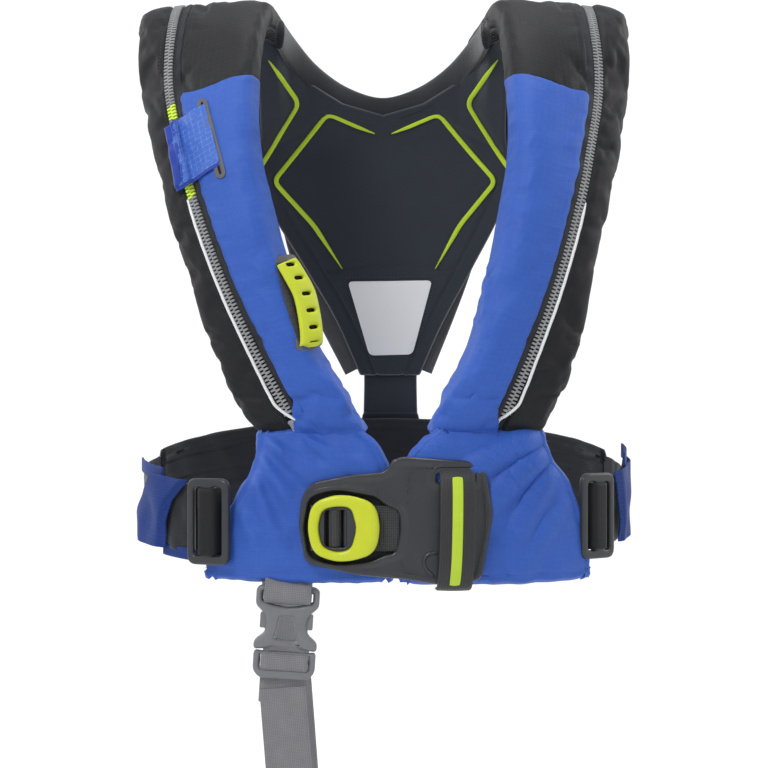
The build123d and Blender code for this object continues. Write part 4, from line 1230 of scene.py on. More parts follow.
def make_tab_and_handle():
    left = [bpy.data.objects[n] for n in ("cover_front_left", "cover_side_left",
                                          "zip_tape_neck_left", "zip_tape_arm_left")]
    tree = surface_of(*left)
    out = mean_direction(tree, -140, -110)
    ring = moulded("slot_film", [stadium(*SLOT_LINE, 4.6), stadium(*SLOT_LINE, 1.2)], 0.9, 0.3,
                   FILM, laid_on(tree, out, 0.3), 3.5)
    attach(ring, "harness")
    # Dark sheet under the film ring's slit, seen only through it: painted shade inside the slit.
    inner = moulded("slot_painted_shade", [stadium(*SLOT_LINE, 1.6)], 0.5, 0.2, BLACK_CLOTH_AND_SHADE,
                    laid_on(tree, out, 0.1), 5)
    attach(inner, "harness")

    outer_low, outer_high = TAB_CORNERS[3], TAB_CORNERS[0]
    slot_high, slot_low = TAB_CORNERS[1], TAB_CORNERS[2]

    def tab_grid(u0, u1, cols, extra, v0=0.0, v1=1.0):
        u = np.linspace(u0, u1, cols)[None, :, None]
        v = np.linspace(v0, v1, 30)[:, None, None]
        xz = mix(mix(slot_low, slot_high, v), mix(outer_low, outer_high, v), u)
        y = front_of(tree, xz[..., 0].ravel(), xz[..., 1].ravel()).reshape(xz.shape[:2])
        y = mix(y, mix(y[:, :1], y[:, -1:], u[..., 0]), 0.55)
        uu, vv = u[..., 0], v[..., 0]
        lift = (1.6 + 2.6 * smooth(0.0, 0.35, uu) + 0.9 * ripple(uu * 40, vv * 70, 45, 5, 2)
                + 1.6 * smooth(0.75, 1.0, uu) * (1 - vv) + extra)
        return (np.stack([xz[..., 0], y, xz[..., 1]], -1) + out * lift[..., None])

    tab = sheet_object("burst_tab_strip", tab_grid(0.0, 0.93, 34, 0.0), BLUE_TAB, 1.3)
    end = sheet_object("burst_tab_end", tab_grid(0.56, 1.0, 20, 0.9, -0.01, 1.01), BLUE_SATIN, 1.9)
    fold = tab_grid(0.02, 1.0, 30, -0.6, -0.055, 0.0)[[0, 8, 16, 24, 29]]
    hem = sheet_object("burst_tab_fold", fold, BLUE_SATIN, 1.2)
    for piece in (tab, end, hem):
        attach(piece, "burst_tab")
    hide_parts("burst_tab")

    out = unit(mean_direction(tree, -78, -240) + [0.25, 0, 0])
    front = fitted_front(tree, (-112, -288), (-56, -196))
    shift = np.array([-2.6, -1.6])
    line = curve_through(np.array(HANDLE_LINE) + shift, 25)
    slots = []
    for centre in HANDLE_SLOTS:
        centre, reach = np.array(centre) + shift, np.array([2.1, 0.35])
        slots.append(stadium(centre - reach, centre + reach, 1.75))

    def handle_lift(x, z):
        away = np.abs(z + 241) / 38
        return 2.0 + 4.4 * np.sqrt(np.clip(1 - away ** 2.4, 0, 1))
    handle = moulded("manual_pull_handle", [offset_band(line, 8.6, 2.2)] + slots, 3.6, 1.2,
                     LIME_RUBBER, laid_on(front, out, handle_lift), 3.0,
                     relief=lambda x, z, e: 0.5 * smooth(0.3, 3.0, e))
    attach(handle, "pull_handle")
    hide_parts("pull_handle")
    # Dark sheet just under the handle, seen only through its slots: painted shade.
    under = moulded("pull_handle_painted_shade", [offset_band(line, 7.8, 2.0)], 0.9, 0.3, BLACK_CLOTH_AND_SHADE,
                    laid_on(front, out, lambda x, z: handle_lift(x, z) - 1.0), 4.0)
    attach(under, "pull_handle")
    strip = moulded("handle_hook_strip", [offset_band(curve_through(HOOK_LINE, 20), 7.0, 1.0)],
                    0.9, 0.3, HOOK, laid_on(front, out, 1.5), 4.0)
    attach(strip, "harness")
    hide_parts("handle_grip_strip")
    for label, corners in HANDLE_PATCHES.items():
        patch = moulded(f"handle_patch_{label}", [rounded(corners, 5)], 0.8, 0.3, FILM,
                        laid_on(front, out, 1.4), 3.5)
        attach(patch, "harness")
    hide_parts("weld_patches")


def make_slider():
    """Zip slider parked in its garage under the blue panel's upright edge."""
    r = SKIN.row(LEFT, np.array([0.42, 0.62]))
    c = np.full(2, float(COLS_FRONT))
    place, above = SKIN.lifted(r, c, np.full(2, -1.2 * SKIN_SIGN))
    up, out = unit(above - place), SKIN.normal(r, c)[0] * SKIN_SIGN
    side = unit(np.cross(up, out))
    out = np.cross(side, up)

    def warp(x, z, height):
        return place + side * x[:, None] + up * z[:, None] + out * height[:, None]
    body = moulded("zip_slider_body", [rounded([(-4.6, -5), (4.6, -5), (3.8, 1), (4.8, 6),
                                                (-4.8, 6), (-3.8, 1)], 2)],
                   3.0, 0.9, ZIP_GREY, warp, 3.0)
    tag = moulded("zip_slider_tag", [rounded([(-2.3, -15), (2.3, -15), (1.8, -3), (-1.8, -3)], 1.2),
                                     stadium((0, -12.6), (0, -11.6), 0.9)],
                  1.0, 0.3, ZIP_GREY, lambda x, z, h: warp(x, z, h + 1.2), 3.0)
    for piece in (body, tag):
        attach(piece, "zip_slider")
    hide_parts("zip_slider")


# --- yoke, collar, back straps ---------------------------------------------------------------

YOKE_ROWS = np.array([(-80, 112, 93, 32), (-115, 118, 96, 26), (-150, 105, 98, 15),
                      (-200, 77, 100, 8), (-250, 49, 101, 3), (-300, 27, 102, 1)], float)
YOKE_THICK = 3.5
COLLAR_PATH = np.array([(-93, 0, 20, -94, -6, -6), (-83, 30, 8, -87, 26, -17),
                        (-62, 57, -14, -70, 52, -36), (-34, 76, -32, -38, 70, -54),
                        (0, 83, -41, 0, 80, -64)], float)
TRIM_LINES = [[(-105, -14), (-78, -49), (-116, -108)],
              [(-8, -74), (-52, -57), (-104, -120), (-69, -160), (-44, -201)]]


def yoke_lean(z):
    return 6.5 * smooth(-60, -250, z)


def yoke_points(k, t):
    """Front of the lining: k is -1 to 1 across, t counts rows down from under the collar."""
    x_top = 112 * k
    reach = np.abs(x_top)
    top = np.stack([x_top, np.interp(reach, [0, 38, 70, 87, 97, 112], [78, 68, 50, 26, 4, -8]),
                    np.interp(reach, [0, 38, 70, 87, 97, 112], [-60, -50, -32, -12, -4, 2])], -1)
    rows = [top]
    for z, half, middle, forward in YOKE_ROWS:
        rows.append(np.stack([k * half, middle - forward * k ** 2 - YOKE_THICK,
                              np.full_like(k, z)], -1))
    p = spline(np.array(rows), t)
    p[..., 0] += yoke_lean(p[..., 2])
    return p


def make_yoke():
    k = np.linspace(-1, 1, 121)
    t = np.linspace(0, len(YOKE_ROWS), 150)
    p = yoke_points(k, t)
    x, z = p[..., 0] - yoke_lean(p[..., 2]), p[..., 2]
    flat = np.stack([x.ravel(), z.ravel()], 1)
    puff = np.zeros(x.shape)
    for sign in (-1, 1):
        for line in TRIM_LINES:
            path = np.array(line, float) * [sign, 1]
            near = distance_open(path + np.array([sign * -3.4, 0]), flat).reshape(x.shape)
            puff -= 1.1 * bell(near, 2.4)
    edge = (1 - np.abs(k)) * np.linalg.norm(p[:, 0] - p[:, -1], axis=1)[:, None] / 2
    puff -= 1.6 * bell(edge - 13, 2.0) * smooth(-95, -125, z)
    seam = np.abs(z + 200 - 3 * np.cos(x / 22))
    puff -= 1.5 * bell(seam, 2.2) * (np.abs(x) < 58)
    seam2 = np.abs(z + 75 + (np.abs(x) - 40) * 0.55 - 20)
    puff -= 0.9 * bell(seam2, 2.0) * smooth(52, 62, np.abs(x))
    puff += 1.3 * ripple(x, z, 90, 71, 3) * smooth(0, 18, edge)
    puff += 1.8 * smooth(3, 22, edge)
    p[..., 1] -= puff
    obj = sheet_object("yoke_lining", p, NAVY, 4.0, flip=False)
    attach(obj, "harness")
    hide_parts("back_yoke")
    tree = surface_of(obj)

    for sign, name in ((-1, "left"), (1, "right")):
        for number, line in enumerate(TRIM_LINES):
            xz = np.array(line, float) * [sign, 1]
            path = [xz[0]]
            for i in range(1, len(xz) - 1):
                a, b = unit(xz[i - 1] - xz[i]), unit(xz[i + 1] - xz[i])
                radius = 7.0
                for s in np.linspace(0, 1, 7):
                    path.append(mix(xz[i] + a * radius * (1 - s), xz[i] + b * radius * s, s))
            path.append(xz[-1])
            path = even(path, step=1.6)
            path[:, 0] += yoke_lean(path[:, 1])
            y = front_of(tree, path[:, 0], path[:, 1])
            y = np.convolve(np.pad(y, 3, mode="edge"), np.ones(7) / 7, "valid")
            share = np.linspace(0, 1, len(path))
            width = 4.3 * np.minimum(1, 0.25 + share * len(path) / 14)
            if number == 1:
                width = width * np.minimum(1, 0.2 + (1 - share) * len(path) / 30)
            ribbon = band_object(f"lime_line_{name}_{number}",
                                 np.stack([path[:, 0], y + 0.2, path[:, 1]], 1),
                                 np.tile([0, -1.0, 0], (len(path), 1)), width, 1.1, LIME_PRINT, 0.3)
            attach(ribbon, "harness")
    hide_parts("yoke_trim")

    corners = [(-33.5, -213), (46.5, -212), (28, -282), (-13, -283)]
    patch = moulded("reflective_panel", [rounded(corners, 5.0)], 1.1, 0.4, REFLECT,
                    laid_on(tree, (0, -1, 0), 0.1), 5.0)
    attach(patch, "harness")
    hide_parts("reflective_patch")
    border = rounded([(-37.5, -209.5), (50.5, -208.5), (31, -286), (-16, -287)], 6)
    y = front_of(tree, border[:, 0], border[:, 1]) - 0.3
    line = stitches("reflective_panel_stitch", np.stack([border[:, 0], y, border[:, 1]], 1),
                    np.tile([0, -1.0, 0], (len(border), 1)), THREAD, 3.0, 2.0, 0.4)
    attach(line, "harness")
    make_collar()
    make_back_straps()


def distance_open(path, points):
    best = np.full(len(points), 1e9)
    for a, b in zip(path, path[1:]):
        d = b - a
        t = np.clip(((points - a) @ d) / (d @ d), 0, 1)
        best = np.minimum(best, np.linalg.norm(points - a - t[:, None] * d, axis=1))
    return best


def make_collar():
    whole = np.concatenate([COLLAR_PATH, COLLAR_PATH[:-1][::-1] * [-1, 1, 1, -1, 1, 1]])
    path = curve_through(whole, 120)
    top, bottom = path[:, :3], path[:, 3:]
    along = np.gradient((top + bottom) / 2, axis=0)
    out = unit(np.cross(along, bottom - top))
    angle = np.linspace(0, 2 * math.pi, 28, endpoint=False)
    run = np.linspace(0, 1, len(path))[:, None]
    half = (bottom - top) / 2
    thick = 4.2 * (1 + 0.12 * ripple(run * 330, angle[None] * 6, 60, 31, 2))
    rings = ((top + bottom) / 2)[:, None] + half[:, None] * (-np.cos(angle))[:, None] * 1.04
    rings = rings + out[:, None] * (np.sign(np.sin(angle)) * np.abs(np.sin(angle)) ** 0.7
                                    * thick)[..., None]
    uv = np.stack([np.broadcast_to(angle * 8, rings.shape[:2]),
                   np.broadcast_to(run * 330, rings.shape[:2])], -1)
    verts, faces, uv = rings_mesh(rings, uv)
    obj = make_object("collar_roll", verts, faces, COLLAR, uv)
    face_outwards(obj)
    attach(obj, "harness")
    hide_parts("collar")


def make_back_straps():
    rows = np.array([(-292, 24.5, 100.5), (-305, 24, 101.5), (-334, 24.5, 104.5), (-338, 25, 104.2),
                     (-344, 26.5, 104.4), (-371, 33, 104.4), (-400, 38, 104.4)])
    row = curve_through(rows, 60)
    k = np.linspace(-1, 1, 31)
    z = row[:, :1]
    y = row[:, 2:] - 1.2 * bell(z + 339, 2.5) + 2.2 * bell(z + 299, 5) \
        - 0.8 * (1 - k[None] ** 4) + 0.5 * ripple(z, k[None] * 25, 50, 41, 2)
    p = np.stack([7 + row[:, 1:2] * k, y, np.broadcast_to(z, y.shape)], -1)
    obj = sheet_object("back_strap_panel", p, NAVY, 2.6)
    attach(obj, "harness")
    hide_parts("back_strap")
    for sign, name in ((-1, "left"), (1, "right")):
        path = curve_through([(sign * 97, 104.0, -92), (sign * 92, 104.5, -120),
                              (sign * 72, 105.0, -200), (sign * 30 + 5, 104.0, -296)], 60)
        tape = band_object(f"yoke_arm_webbing_{name}", path, np.tile([0, 1.0, 0], (60, 1)), 24, 2.2,
                           DARK_GREY_WEB)
        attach(tape, "harness")
    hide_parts("yoke_webbing")


# --- belt, side adjusters, waist panels ------------------------------------------------------

BELT_WIDTH, BELT_DEPTH, BELT_Y = 212, 128, -28
BELT_HEIGHT, BELT_FRONT_Z, BELT_BACK_Z = 58, -431, -386


def belt_point(bearing, out=0.0):
    b = np.radians(bearing)
    return (BELT_WIDTH + out) * np.sin(b), BELT_Y - (BELT_DEPTH + out) * np.cos(b)


def belt_height(bearing):
    return mix(BELT_FRONT_Z, BELT_BACK_Z, ((1 - np.cos(np.radians(bearing))) / 2) ** 1.3)


def belt_piece(name, start, stop, tall, out, look, thick, rise=0.0, shape=None, cols=26,
               node=None, step=0.7):
    """Band on the belt's oval.  shape(bearing, v) adds to how far out it stands."""
    bearing = np.arange(start, stop + step / 2, step)[:, None]
    v = np.linspace(-1, 1, cols)[None]
    height = tall(bearing) if callable(tall) else tall
    extra = shape(bearing, v) if shape else 0.0
    x, y = belt_point(bearing, out + extra)
    z = belt_height(bearing) + rise + v * height / 2
    p = np.stack(np.broadcast_arrays(x, y, z), -1)
    obj = sheet_object(name, p, look, thick)
    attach(obj, "harness")
    if node:
        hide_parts(node)
    return obj


def pull_strap(name, back_edge, front_edge, tall, seed):
    """Blue pull strap folded over the belt; its edges run at a slant."""
    v = np.linspace(-1, 1, 34)[None]
    back = np.interp(v, [-1, -0.3, 0.4, 1], back_edge)
    front = np.interp(v, [-1, -0.3, 0.4, 1], front_edge)
    share = np.linspace(0, 1, 48)[:, None]
    bearing = mix(back, front, share)
    out = 9.0 + 1.8 * ripple(bearing * 3.4, v * 30, 55, seed, 2) - 3.5 * smooth(0.86, 1, share)
    x, y = belt_point(bearing, out)
    z = belt_height(bearing) + 2 + v * tall / 2 * (1 - 0.05 * share)
    p = np.stack(np.broadcast_arrays(x, y, z), -1)
    if back_edge[0] > 0:
        p = p[::-1]
    obj = sheet_object(f"pull_strap_{name}", p, BLUE_WEB, 1.8)
    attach(obj, "harness")
    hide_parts(f"pull_tab_{name}")


def make_belt():
    def pad_shape(b, v):
        quilt = np.abs((v + 1) * 2.0 % 1 - 0.5) * 2
        return (-1.6 * bell(quilt, 0.16) + 1.2 * ripple(b * 3.2, v * 35, 60, 51, 3)
                - 2.2 * np.abs(v) ** 6)

    def rear_tall(b):
        return mix(60, 84, ((1 - np.cos(np.radians(b))) / 2) ** 2)
    pad = belt_piece("rear_waist_pad", 108, 252, rear_tall, 3.2, BELT, 6.0, shape=pad_shape,
                     cols=40, node="rear_belt_pad")

    def slack(seed, size):
        return lambda b, v: size * ripple(b * 3.4, v * 26, 46, seed, 3)
    belt_piece("belt_strap_left", -107, -48.6, BELT_HEIGHT, 1.2, BELT, 2.2, shape=slack(52, 0.9),
               node="belt_webbing_left")
    belt_piece("belt_strap_right", 62.5, 107, BELT_HEIGHT, 1.2, BELT, 2.2, shape=slack(53, 0.9),
               node="belt_webbing_right")
    pull_strap("left", (-83, -81, -74, -66), (-61, -60.5, -57.5, -51), 64, 54)
    belt_piece("pull_loop_left", -84, -63, 11, 4.0, BLUE_WEB, 1.8, rise=34,
               cols=10)
    belt_piece("pull_tail_left", -64, -44, 9, 1.6, BLUE_WEB, 1.6, rise=-31,
               cols=8)
    pull_strap("right", (92, 95, 98, 98.5), (74, 73, 71.5, 69.5), 66, 55)
    belt_piece("pull_loop_right", 80, 97, 12, 6.0, BLUE_WEB, 1.8, rise=40,
               cols=10)
    make_adjusters()
    make_waist_panels()


ADJUSTER_BEARING = {"left": -43, "right": 58}
ADJUSTER_WIDTH, ADJUSTER_HEIGHT, ADJUSTER_THICK = 42, 74, 6


def adjuster_axes(name):
    bearing = ADJUSTER_BEARING[name]
    x, y = belt_point(bearing, 7)
    x2, y2 = belt_point(bearing + 1, 7)
    along = unit([x2 - x, y2 - y, 0])
    return np.array([x, y, belt_height(bearing)]), along, np.cross([0, 0, 1.0], along)


def make_adjusters():
    for name in ("left", "right"):
        origin, along, inward = adjuster_axes(name)

        def warp(x, z, height):
            bow = -0.0012 * x ** 2
            return (origin + along * x[:, None] + np.array([0, 0, 1.0]) * z[:, None]
                    - inward * (height - ADJUSTER_THICK / 2 + bow)[:, None])
        half_w, half_h = ADJUSTER_WIDTH / 2, ADJUSTER_HEIGHT / 2
        outline = rounded([(-half_w, -half_h), (half_w, -half_h), (half_w, half_h),
                           (-half_w, half_h)], 9, 7)
        slots = [rounded([(c - 4.7, -29.5), (c + 4.7, -29.5), (c + 4.7, 29.5), (c - 4.7, 29.5)],
                         3.4, 5) for c in (-9.6, 9.6)]
        buckle = moulded(f"adjuster_frame_{name}", [outline] + slots, ADJUSTER_THICK, 1.9,
                         BLACK_PLASTIC, warp, 6.0)
        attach(buckle, f"side_adjuster_{name}")
        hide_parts(f"side_adjuster_{name}")
        profile = curve_through([(-11, -4.4), (-9.4, 1.5), (-6.8, 5.0), (0, 5.6), (6.8, 5.0),
                                 (9.4, 1.5), (11, -4.4)], 34)
        v = np.linspace(-28, 28, 15)
        p = (origin + along * profile[:, None, :1] - inward * profile[:, None, 1:]
             + np.array([0, 0, 1.0]) * v[None, :, None])
        loop = sheet_object(f"adjuster_strap_{name}", p, BLACK_CLOTH_AND_SHADE, 1.6)
        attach(loop, "harness")
        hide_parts(f"adjuster_webbing_{name}")


PANEL_ROWS = {
    "left": [(-352, -106, -20), (-362, -107, -8), (-379, -111, 2), (-400, -121, 6),
             (-426, -136, 7), (-450, -146, 7), (-474, -153, 6)],
    "right": [(-352, 133, 46), (-362, 135, 32), (-379, 142, 20), (-396, 155, 16), (-426, 166, 15),
              (-450, 171, 15), (-474, 174, 16)]}
PANEL_THICK = 9


def panel_front(x):
    share = np.minimum(1, np.abs(x) / (BELT_WIDTH - 3))
    return BELT_Y - (BELT_DEPTH - 3) * np.sqrt(1 - share ** 2)


FOLDS = {"left": [(-100, -356, -30, 8.0, 6), (-106, -368, -48, 8.0, 6), (-110, -384, -66, 7.0, 6),
                  (-70, -352, -26, 6.0, 5), (-124, -412, -58, 4.5, 6)],
         "right": [(130, -356, 210, 8.0, 6), (136, -368, 228, 8.0, 6), (142, -384, 246, 7.0, 6),
                   (156, -410, 238, 4.5, 6)]}


def make_waist_panels():
    for name, seed in (("left", 81), ("right", 91)):
        rows = curve_through(PANEL_ROWS[name], 90)
        u = np.linspace(0, 1, 110)[None]
        z = rows[:, :1]
        x = mix(rows[:, 1:2], rows[:, 2:3], u)
        z = np.broadcast_to(z, x.shape) - 1.5 * np.sin(u * math.pi) * smooth(-420, -474, z)
        out = np.zeros(x.shape)
        for fx, fz, turn, size, wide in FOLDS[name]:
            way = np.array([math.cos(math.radians(turn)), math.sin(math.radians(turn))])
            along = (x - fx) * way[0] + (z - fz) * way[1]
            side = -(x - fx) * way[1] + (z - fz) * way[0] + 5 * np.sin(along / 30)
            out += size * bell(side, wide * (0.7 + np.clip(along, 0, 90) / 90)) \
                * smooth(-5, 14, along) * smooth(105, 40, along)
        edge = np.minimum(u, 1 - u) * np.abs(rows[:, 1:2] - rows[:, 2:3])
        ends = np.minimum(z + 475, -352 - z)
        out += 1.6 * ripple(x, z, 70, seed, 3) + 0.5 * ripple(x, z, 22, seed + 1, 2)
        out += 3.0 * smooth(0, 16, edge) * smooth(0, 12, ends)
        out -= 1.3 * (bell(edge - 4.5, 1.2) + bell(z + 469, 1.2))
        under_plate = smooth(-84, -74, x) * smooth(110, 99, x) * smooth(-346, -362, z)
        room = PLATE_RADIUS - np.sqrt(PLATE_RADIUS ** 2 - (x - PLATE_X) ** 2)
        room = panel_front(x) - (PLATE_Y + room + PLATE_THICK) - 1.0
        out = np.where(under_plate > 0, np.minimum(out, mix(9.0, room, under_plate)), out)
        for _ in range(4):
            out[1:-1, 1:-1] = out[1:-1, 1:-1] / 2 + (out[:-2, 1:-1] + out[2:, 1:-1]
                                                     + out[1:-1, :-2] + out[1:-1, 2:]) / 8
        p = np.stack([x, panel_front(x) - out, z], -1)
        obj = sheet_object(f"waist_front_{name}", p, BLUE, PANEL_THICK)
        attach(obj, "harness")
        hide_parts(f"waist_panel_{name}")
        hem = p[-3:-2].reshape(-1, 3) + [0, -0.2, 4.0]
        row = stitches(f"waist_hem_stitch_{name}", hem, np.tile([0, -1.0, 0], (len(hem), 1)),
                       BLUE_THREAD, 3.2, 2.2, 0.4)
        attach(row, "harness")


# --- front plate, lever, tether loop ---------------------------------------------------------

PLATE_RADIUS, PLATE_X, PLATE_Y, PLATE_THICK = 420, 11, -165, 5
LEVER_Z = -431
PIN_X, PIN_HEIGHT, PIN_REACH, PIN_RADIUS = -58.5, 4.4, 19, 1.9
PLATE_OUTLINE = [(-72, -428), (-69, -404), (-60, -392.5), (-28.6, -386.4), (1, -384), (9, -373),
                 (17, -371), (76, -375), (88, -384), (94, -419), (84, -473), (76, -477),
                 (49, -479), (17, -474), (-23, -470.5), (-66, -461)]
RECESS = [(-67, -431), (-62.5, -406), (-48, -401), (-36, -400), (-6, -405), (2, -412), (13.5, -416),
          (15, -432), (11, -452), (0, -454), (-10, -459), (-36, -462), (-52, -460), (-63, -455)]
LEVER_RING = [(-63.5, -431), (-59, -409.5), (-40, -403), (-26, -403.5), (-6.5, -409.5),
              (-1.5, -431), (-6.5, -452.5), (-26, -458.5), (-40, -459), (-58, -453)]
LEVER_OPENING = [(-54.5, -431), (-51, -415.5), (-38, -412.3), (-26, -413.6), (-21.5, -431),
                 (-26, -448.6), (-38, -451.7), (-51, -447)]
LOOP_X = 61


def on_plate(x, z, height):
    turn = (np.asarray(x) - PLATE_X) / PLATE_RADIUS
    radius = PLATE_RADIUS + np.asarray(height)
    return np.stack(np.broadcast_arrays(
        PLATE_X + radius * np.sin(turn), PLATE_Y + PLATE_RADIUS - radius * np.cos(turn), z), -1)


def plate_out(x):
    turn = (np.asarray(x) - PLATE_X) / PLATE_RADIUS
    return np.stack(np.broadcast_arrays(np.sin(turn), -np.cos(turn), 0 * turn), -1)


def lifted_plate(lift):
    return lambda x, z, height: on_plate(x, z, height + lift)


def make_plate():
    outline = rounded(PLATE_OUTLINE, 7, 6)
    recess = rounded(RECESS, 6, 5)
    slot = rounded([(45, -392.5), (77, -392.5), (77, -385.5), (45, -385.5)], 2.5, 5)

    def rim(x, z, edge):
        lip = 1.5 * smooth(7.5, 3.0, edge) - 0.9 * smooth(1.6, 0.0, edge)
        valley = -0.8 * bell(distance_open(np.array([(24, -372), (24, -402)]),
                                           np.stack([x, z], 1)), 5)
        swell = 0.9 * smooth(40, 10, np.abs(x - 61)) * smooth(-365, -385, z)
        return lip + valley + swell
    plate = moulded("front_plate_moulding", [outline, recess, slot], PLATE_THICK, 1.3, PLATE,
                    lifted_plate(-PLATE_THICK), 2.6, relief=rim, sharp=60)
    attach(plate, "harness")
    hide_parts("front_plate")
    # Dark sheet behind the plate's recess, seen in the gaps round the lever and bars: painted
    # shade.
    floor = moulded("front_plate_recess_painted_shade", [rounded([(-69, -400), (18, -399), (18, -463),
                                                   (-69, -462)], 14)],
                    1.6, 0.4, BLACK_CLOTH_AND_SHADE, lifted_plate(-PLATE_THICK - 1), 6, cut_rows=False)
    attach(floor, "harness")
    # Dark sheet behind the plate's slot, seen beside the webbing: painted shade inside the slot.
    slot_shade_sheet = moulded("plate_slot_painted_shade", [rounded([(42, -396), (80, -396), (80, -382), (42, -382)], 3)],
                     1.0, 0.3, BLACK_CLOTH_AND_SHADE, lifted_plate(-PLATE_THICK + 1), 6, cut_rows=False)
    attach(slot_shade_sheet, "harness")

    lip = rounded([(43, -394), (43, -379), (79, -379), (79, -394)], 5, 6)[3:-3]
    path = on_plate(lip[:, 0], lip[:, 1], 0.9)
    rail = merged("slot_lip", [rings_mesh(round_rings(path, 1.7, 10, plate_out(lip[:, 0])))], PLATE)
    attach(rail, "harness")
    low_lip = curve_through([(45.5, -452), (38.5, -453), (34.5, -458), (36, -465), (42, -471)], 24)
    path = on_plate(low_lip[:, 0], low_lip[:, 1], 0.6)
    rail = merged("loop_lip", [rings_mesh(round_rings(path, 1.5, 10, plate_out(low_lip[:, 0])))],
                  PLATE)
    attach(rail, "harness")

    for number, line in enumerate((
            [(21.7, -400), (22.3, -388), (24, -382.5), (30, -380.8), (70, -380.6), (79, -383.5),
             (83.5, -390), (86.6, -424.5), (85.3, -441), (79, -467)],
            [(15.5, -459.5), (16.3, -464.5), (20, -467.8), (42.5, -472)])):
        path = even(curve_through(line, 80), step=1.5)
        row = stitches(f"plate_stitch_{number}",
                       on_plate(path[:, 0], path[:, 1], 0.55 + 0.9 * smooth(70, 84, path[:, 0])),
                       plate_out(path[:, 0]), THREAD, 4.4, 3.4, 1.0, 0.45)
        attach(row, "harness")

    ring = rounded(LEVER_RING, 11, 7)
    opening = rounded(LEVER_OPENING, 6, 6)

    def lever_relief(x, z, edge):
        return (0.9 * smooth(0, 5, edge) + 2.2 * smooth(-24, -8, x) * smooth(0, 7, edge)
                - 0.8 * bell(x + 14, 3.5) * smooth(0, 6, edge))
    lever = moulded("lever_ring", [ring, opening], 6.6, 2.0, LIME_PLASTIC, lifted_plate(1.0), 2.8,
                    relief=lever_relief, sharp=60)
    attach(lever, "release_lever")
    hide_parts("release_lever")
    z = np.linspace(-PIN_REACH, PIN_REACH, 20)
    pin = on_plate(np.full(20, PIN_X), LEVER_Z + z, np.full(20, PIN_HEIGHT))
    pin = merged("lever_hinge_pin", [rings_mesh(round_rings(pin, PIN_RADIUS, 16))],
                 BLACK_PLASTIC, 50)
    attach(pin, "harness")
    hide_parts("lever_pin")
    frame_loops = [rounded(np.array(LEVER_OPENING) * [1.02, 1] + [1, 0], 6, 6),
                   rounded([(-49, -447), (-30, -447.5), (-30, -415.5), (-49, -416)], 4, 5)]
    frame_piece = moulded("lever_frame", frame_loops, 3.6, 0.8, BLACK_PLASTIC, lifted_plate(0.6), 5)
    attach(frame_piece, "release_lever")
    bars = []
    for x, radius, look, name in ((-40.5, 5.2, BLACK_WEB, "ribbed_bar"),
                                  (-51.0, 2.6, BLACK_PLASTIC, "smooth_bar"),
                                  (-31.0, 2.4, BLACK_PLASTIC, "outer_bar")):
        z = np.linspace(-446.5, -415.5, 40)
        path = on_plate(np.full(40, x), z, np.full(40, -0.5))
        angle = np.linspace(0, 2 * math.pi, 26, endpoint=False)
        rings = round_rings(path, radius, 26, plate_out(np.full(40, x)))
        uv = np.stack([np.broadcast_to(angle * radius, rings.shape[:2]),
                       np.broadcast_to(z[:, None], rings.shape[:2])], -1)
        bars.append(merged(name, [rings_mesh(rings, uv)], look, 50))
        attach(bars[-1], "harness")
    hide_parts("webbing_bar")

    x = np.linspace(-26, 13.6, 60)[:, None]
    z = np.linspace(-450, -413, 40)[None]
    ribs = 0.55 * np.abs(np.sin(x * math.pi / 3.3))
    p = on_plate(*np.broadcast_arrays(x, z), -1.6 + ribs + 0 * z)
    belt_end = sheet_object("belt_end_strap", p, BLACK_WEB, 1.6)
    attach(belt_end, "harness")
    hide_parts("belt_end_webbing")
    make_tether_loop()


LOOP_PATH = [(-7, -388.5), (1.0, -385.5), (8.5, -390), (12.6, -402), (14.2, -420), (14.2, -440),
             (12.2, -458), (8.0, -471), (3.2, -478.5), (-2.5, -481.2), (-8, -480.5)]


def make_tether_loop():
    side_view = curve_through(LOOP_PATH, 90)
    share = np.linspace(0, 1, 90)
    middle = mix(LOOP_X + 1.3, LOOP_X - 1.8, share)

    def band(name, shift, width, thick, look, rise, first, last):
        x = (middle + shift)[first:last]
        out = side_view[first:last, 0] + rise
        path = on_plate(x, side_view[first:last, 1], out)
        along = np.gradient(side_view, axis=0)[first:last]
        lean = unit(np.stack([0 * x, along[:, 1], along[:, 0]], 1))
        return band_object(name, path, lean, width, thick, look, 0.7 if width > 20 else 0.15)
    loop = band("tether_webbing_loop", 0.0, 29.5, 2.4, TETHER_WEB, 0.0, 0, 90)
    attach(loop, "harness")
    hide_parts("tether_loop")
    stripe = band("tether_lime_stripe", -0.4, 8.8, 0.7, LIME_WEB, 3.0, 14, 80)
    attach(stripe, "harness")
    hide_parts("tether_stripe")


# --- crotch buckle and leftover CAD nodes ----------------------------------------------------

CROTCH_WIDTH = 40
BUCKLE_PLACE, BUCKLE_TILT = np.array([-82.0, -134.0, -510.0]), 3.5


def in_buckle(x, y, z):
    tip = math.radians(BUCKLE_TILT)
    return BUCKLE_PLACE + np.stack(np.broadcast_arrays(
        x * math.cos(tip) + z * math.sin(tip), y, -x * math.sin(tip) + z * math.cos(tip)), -1)


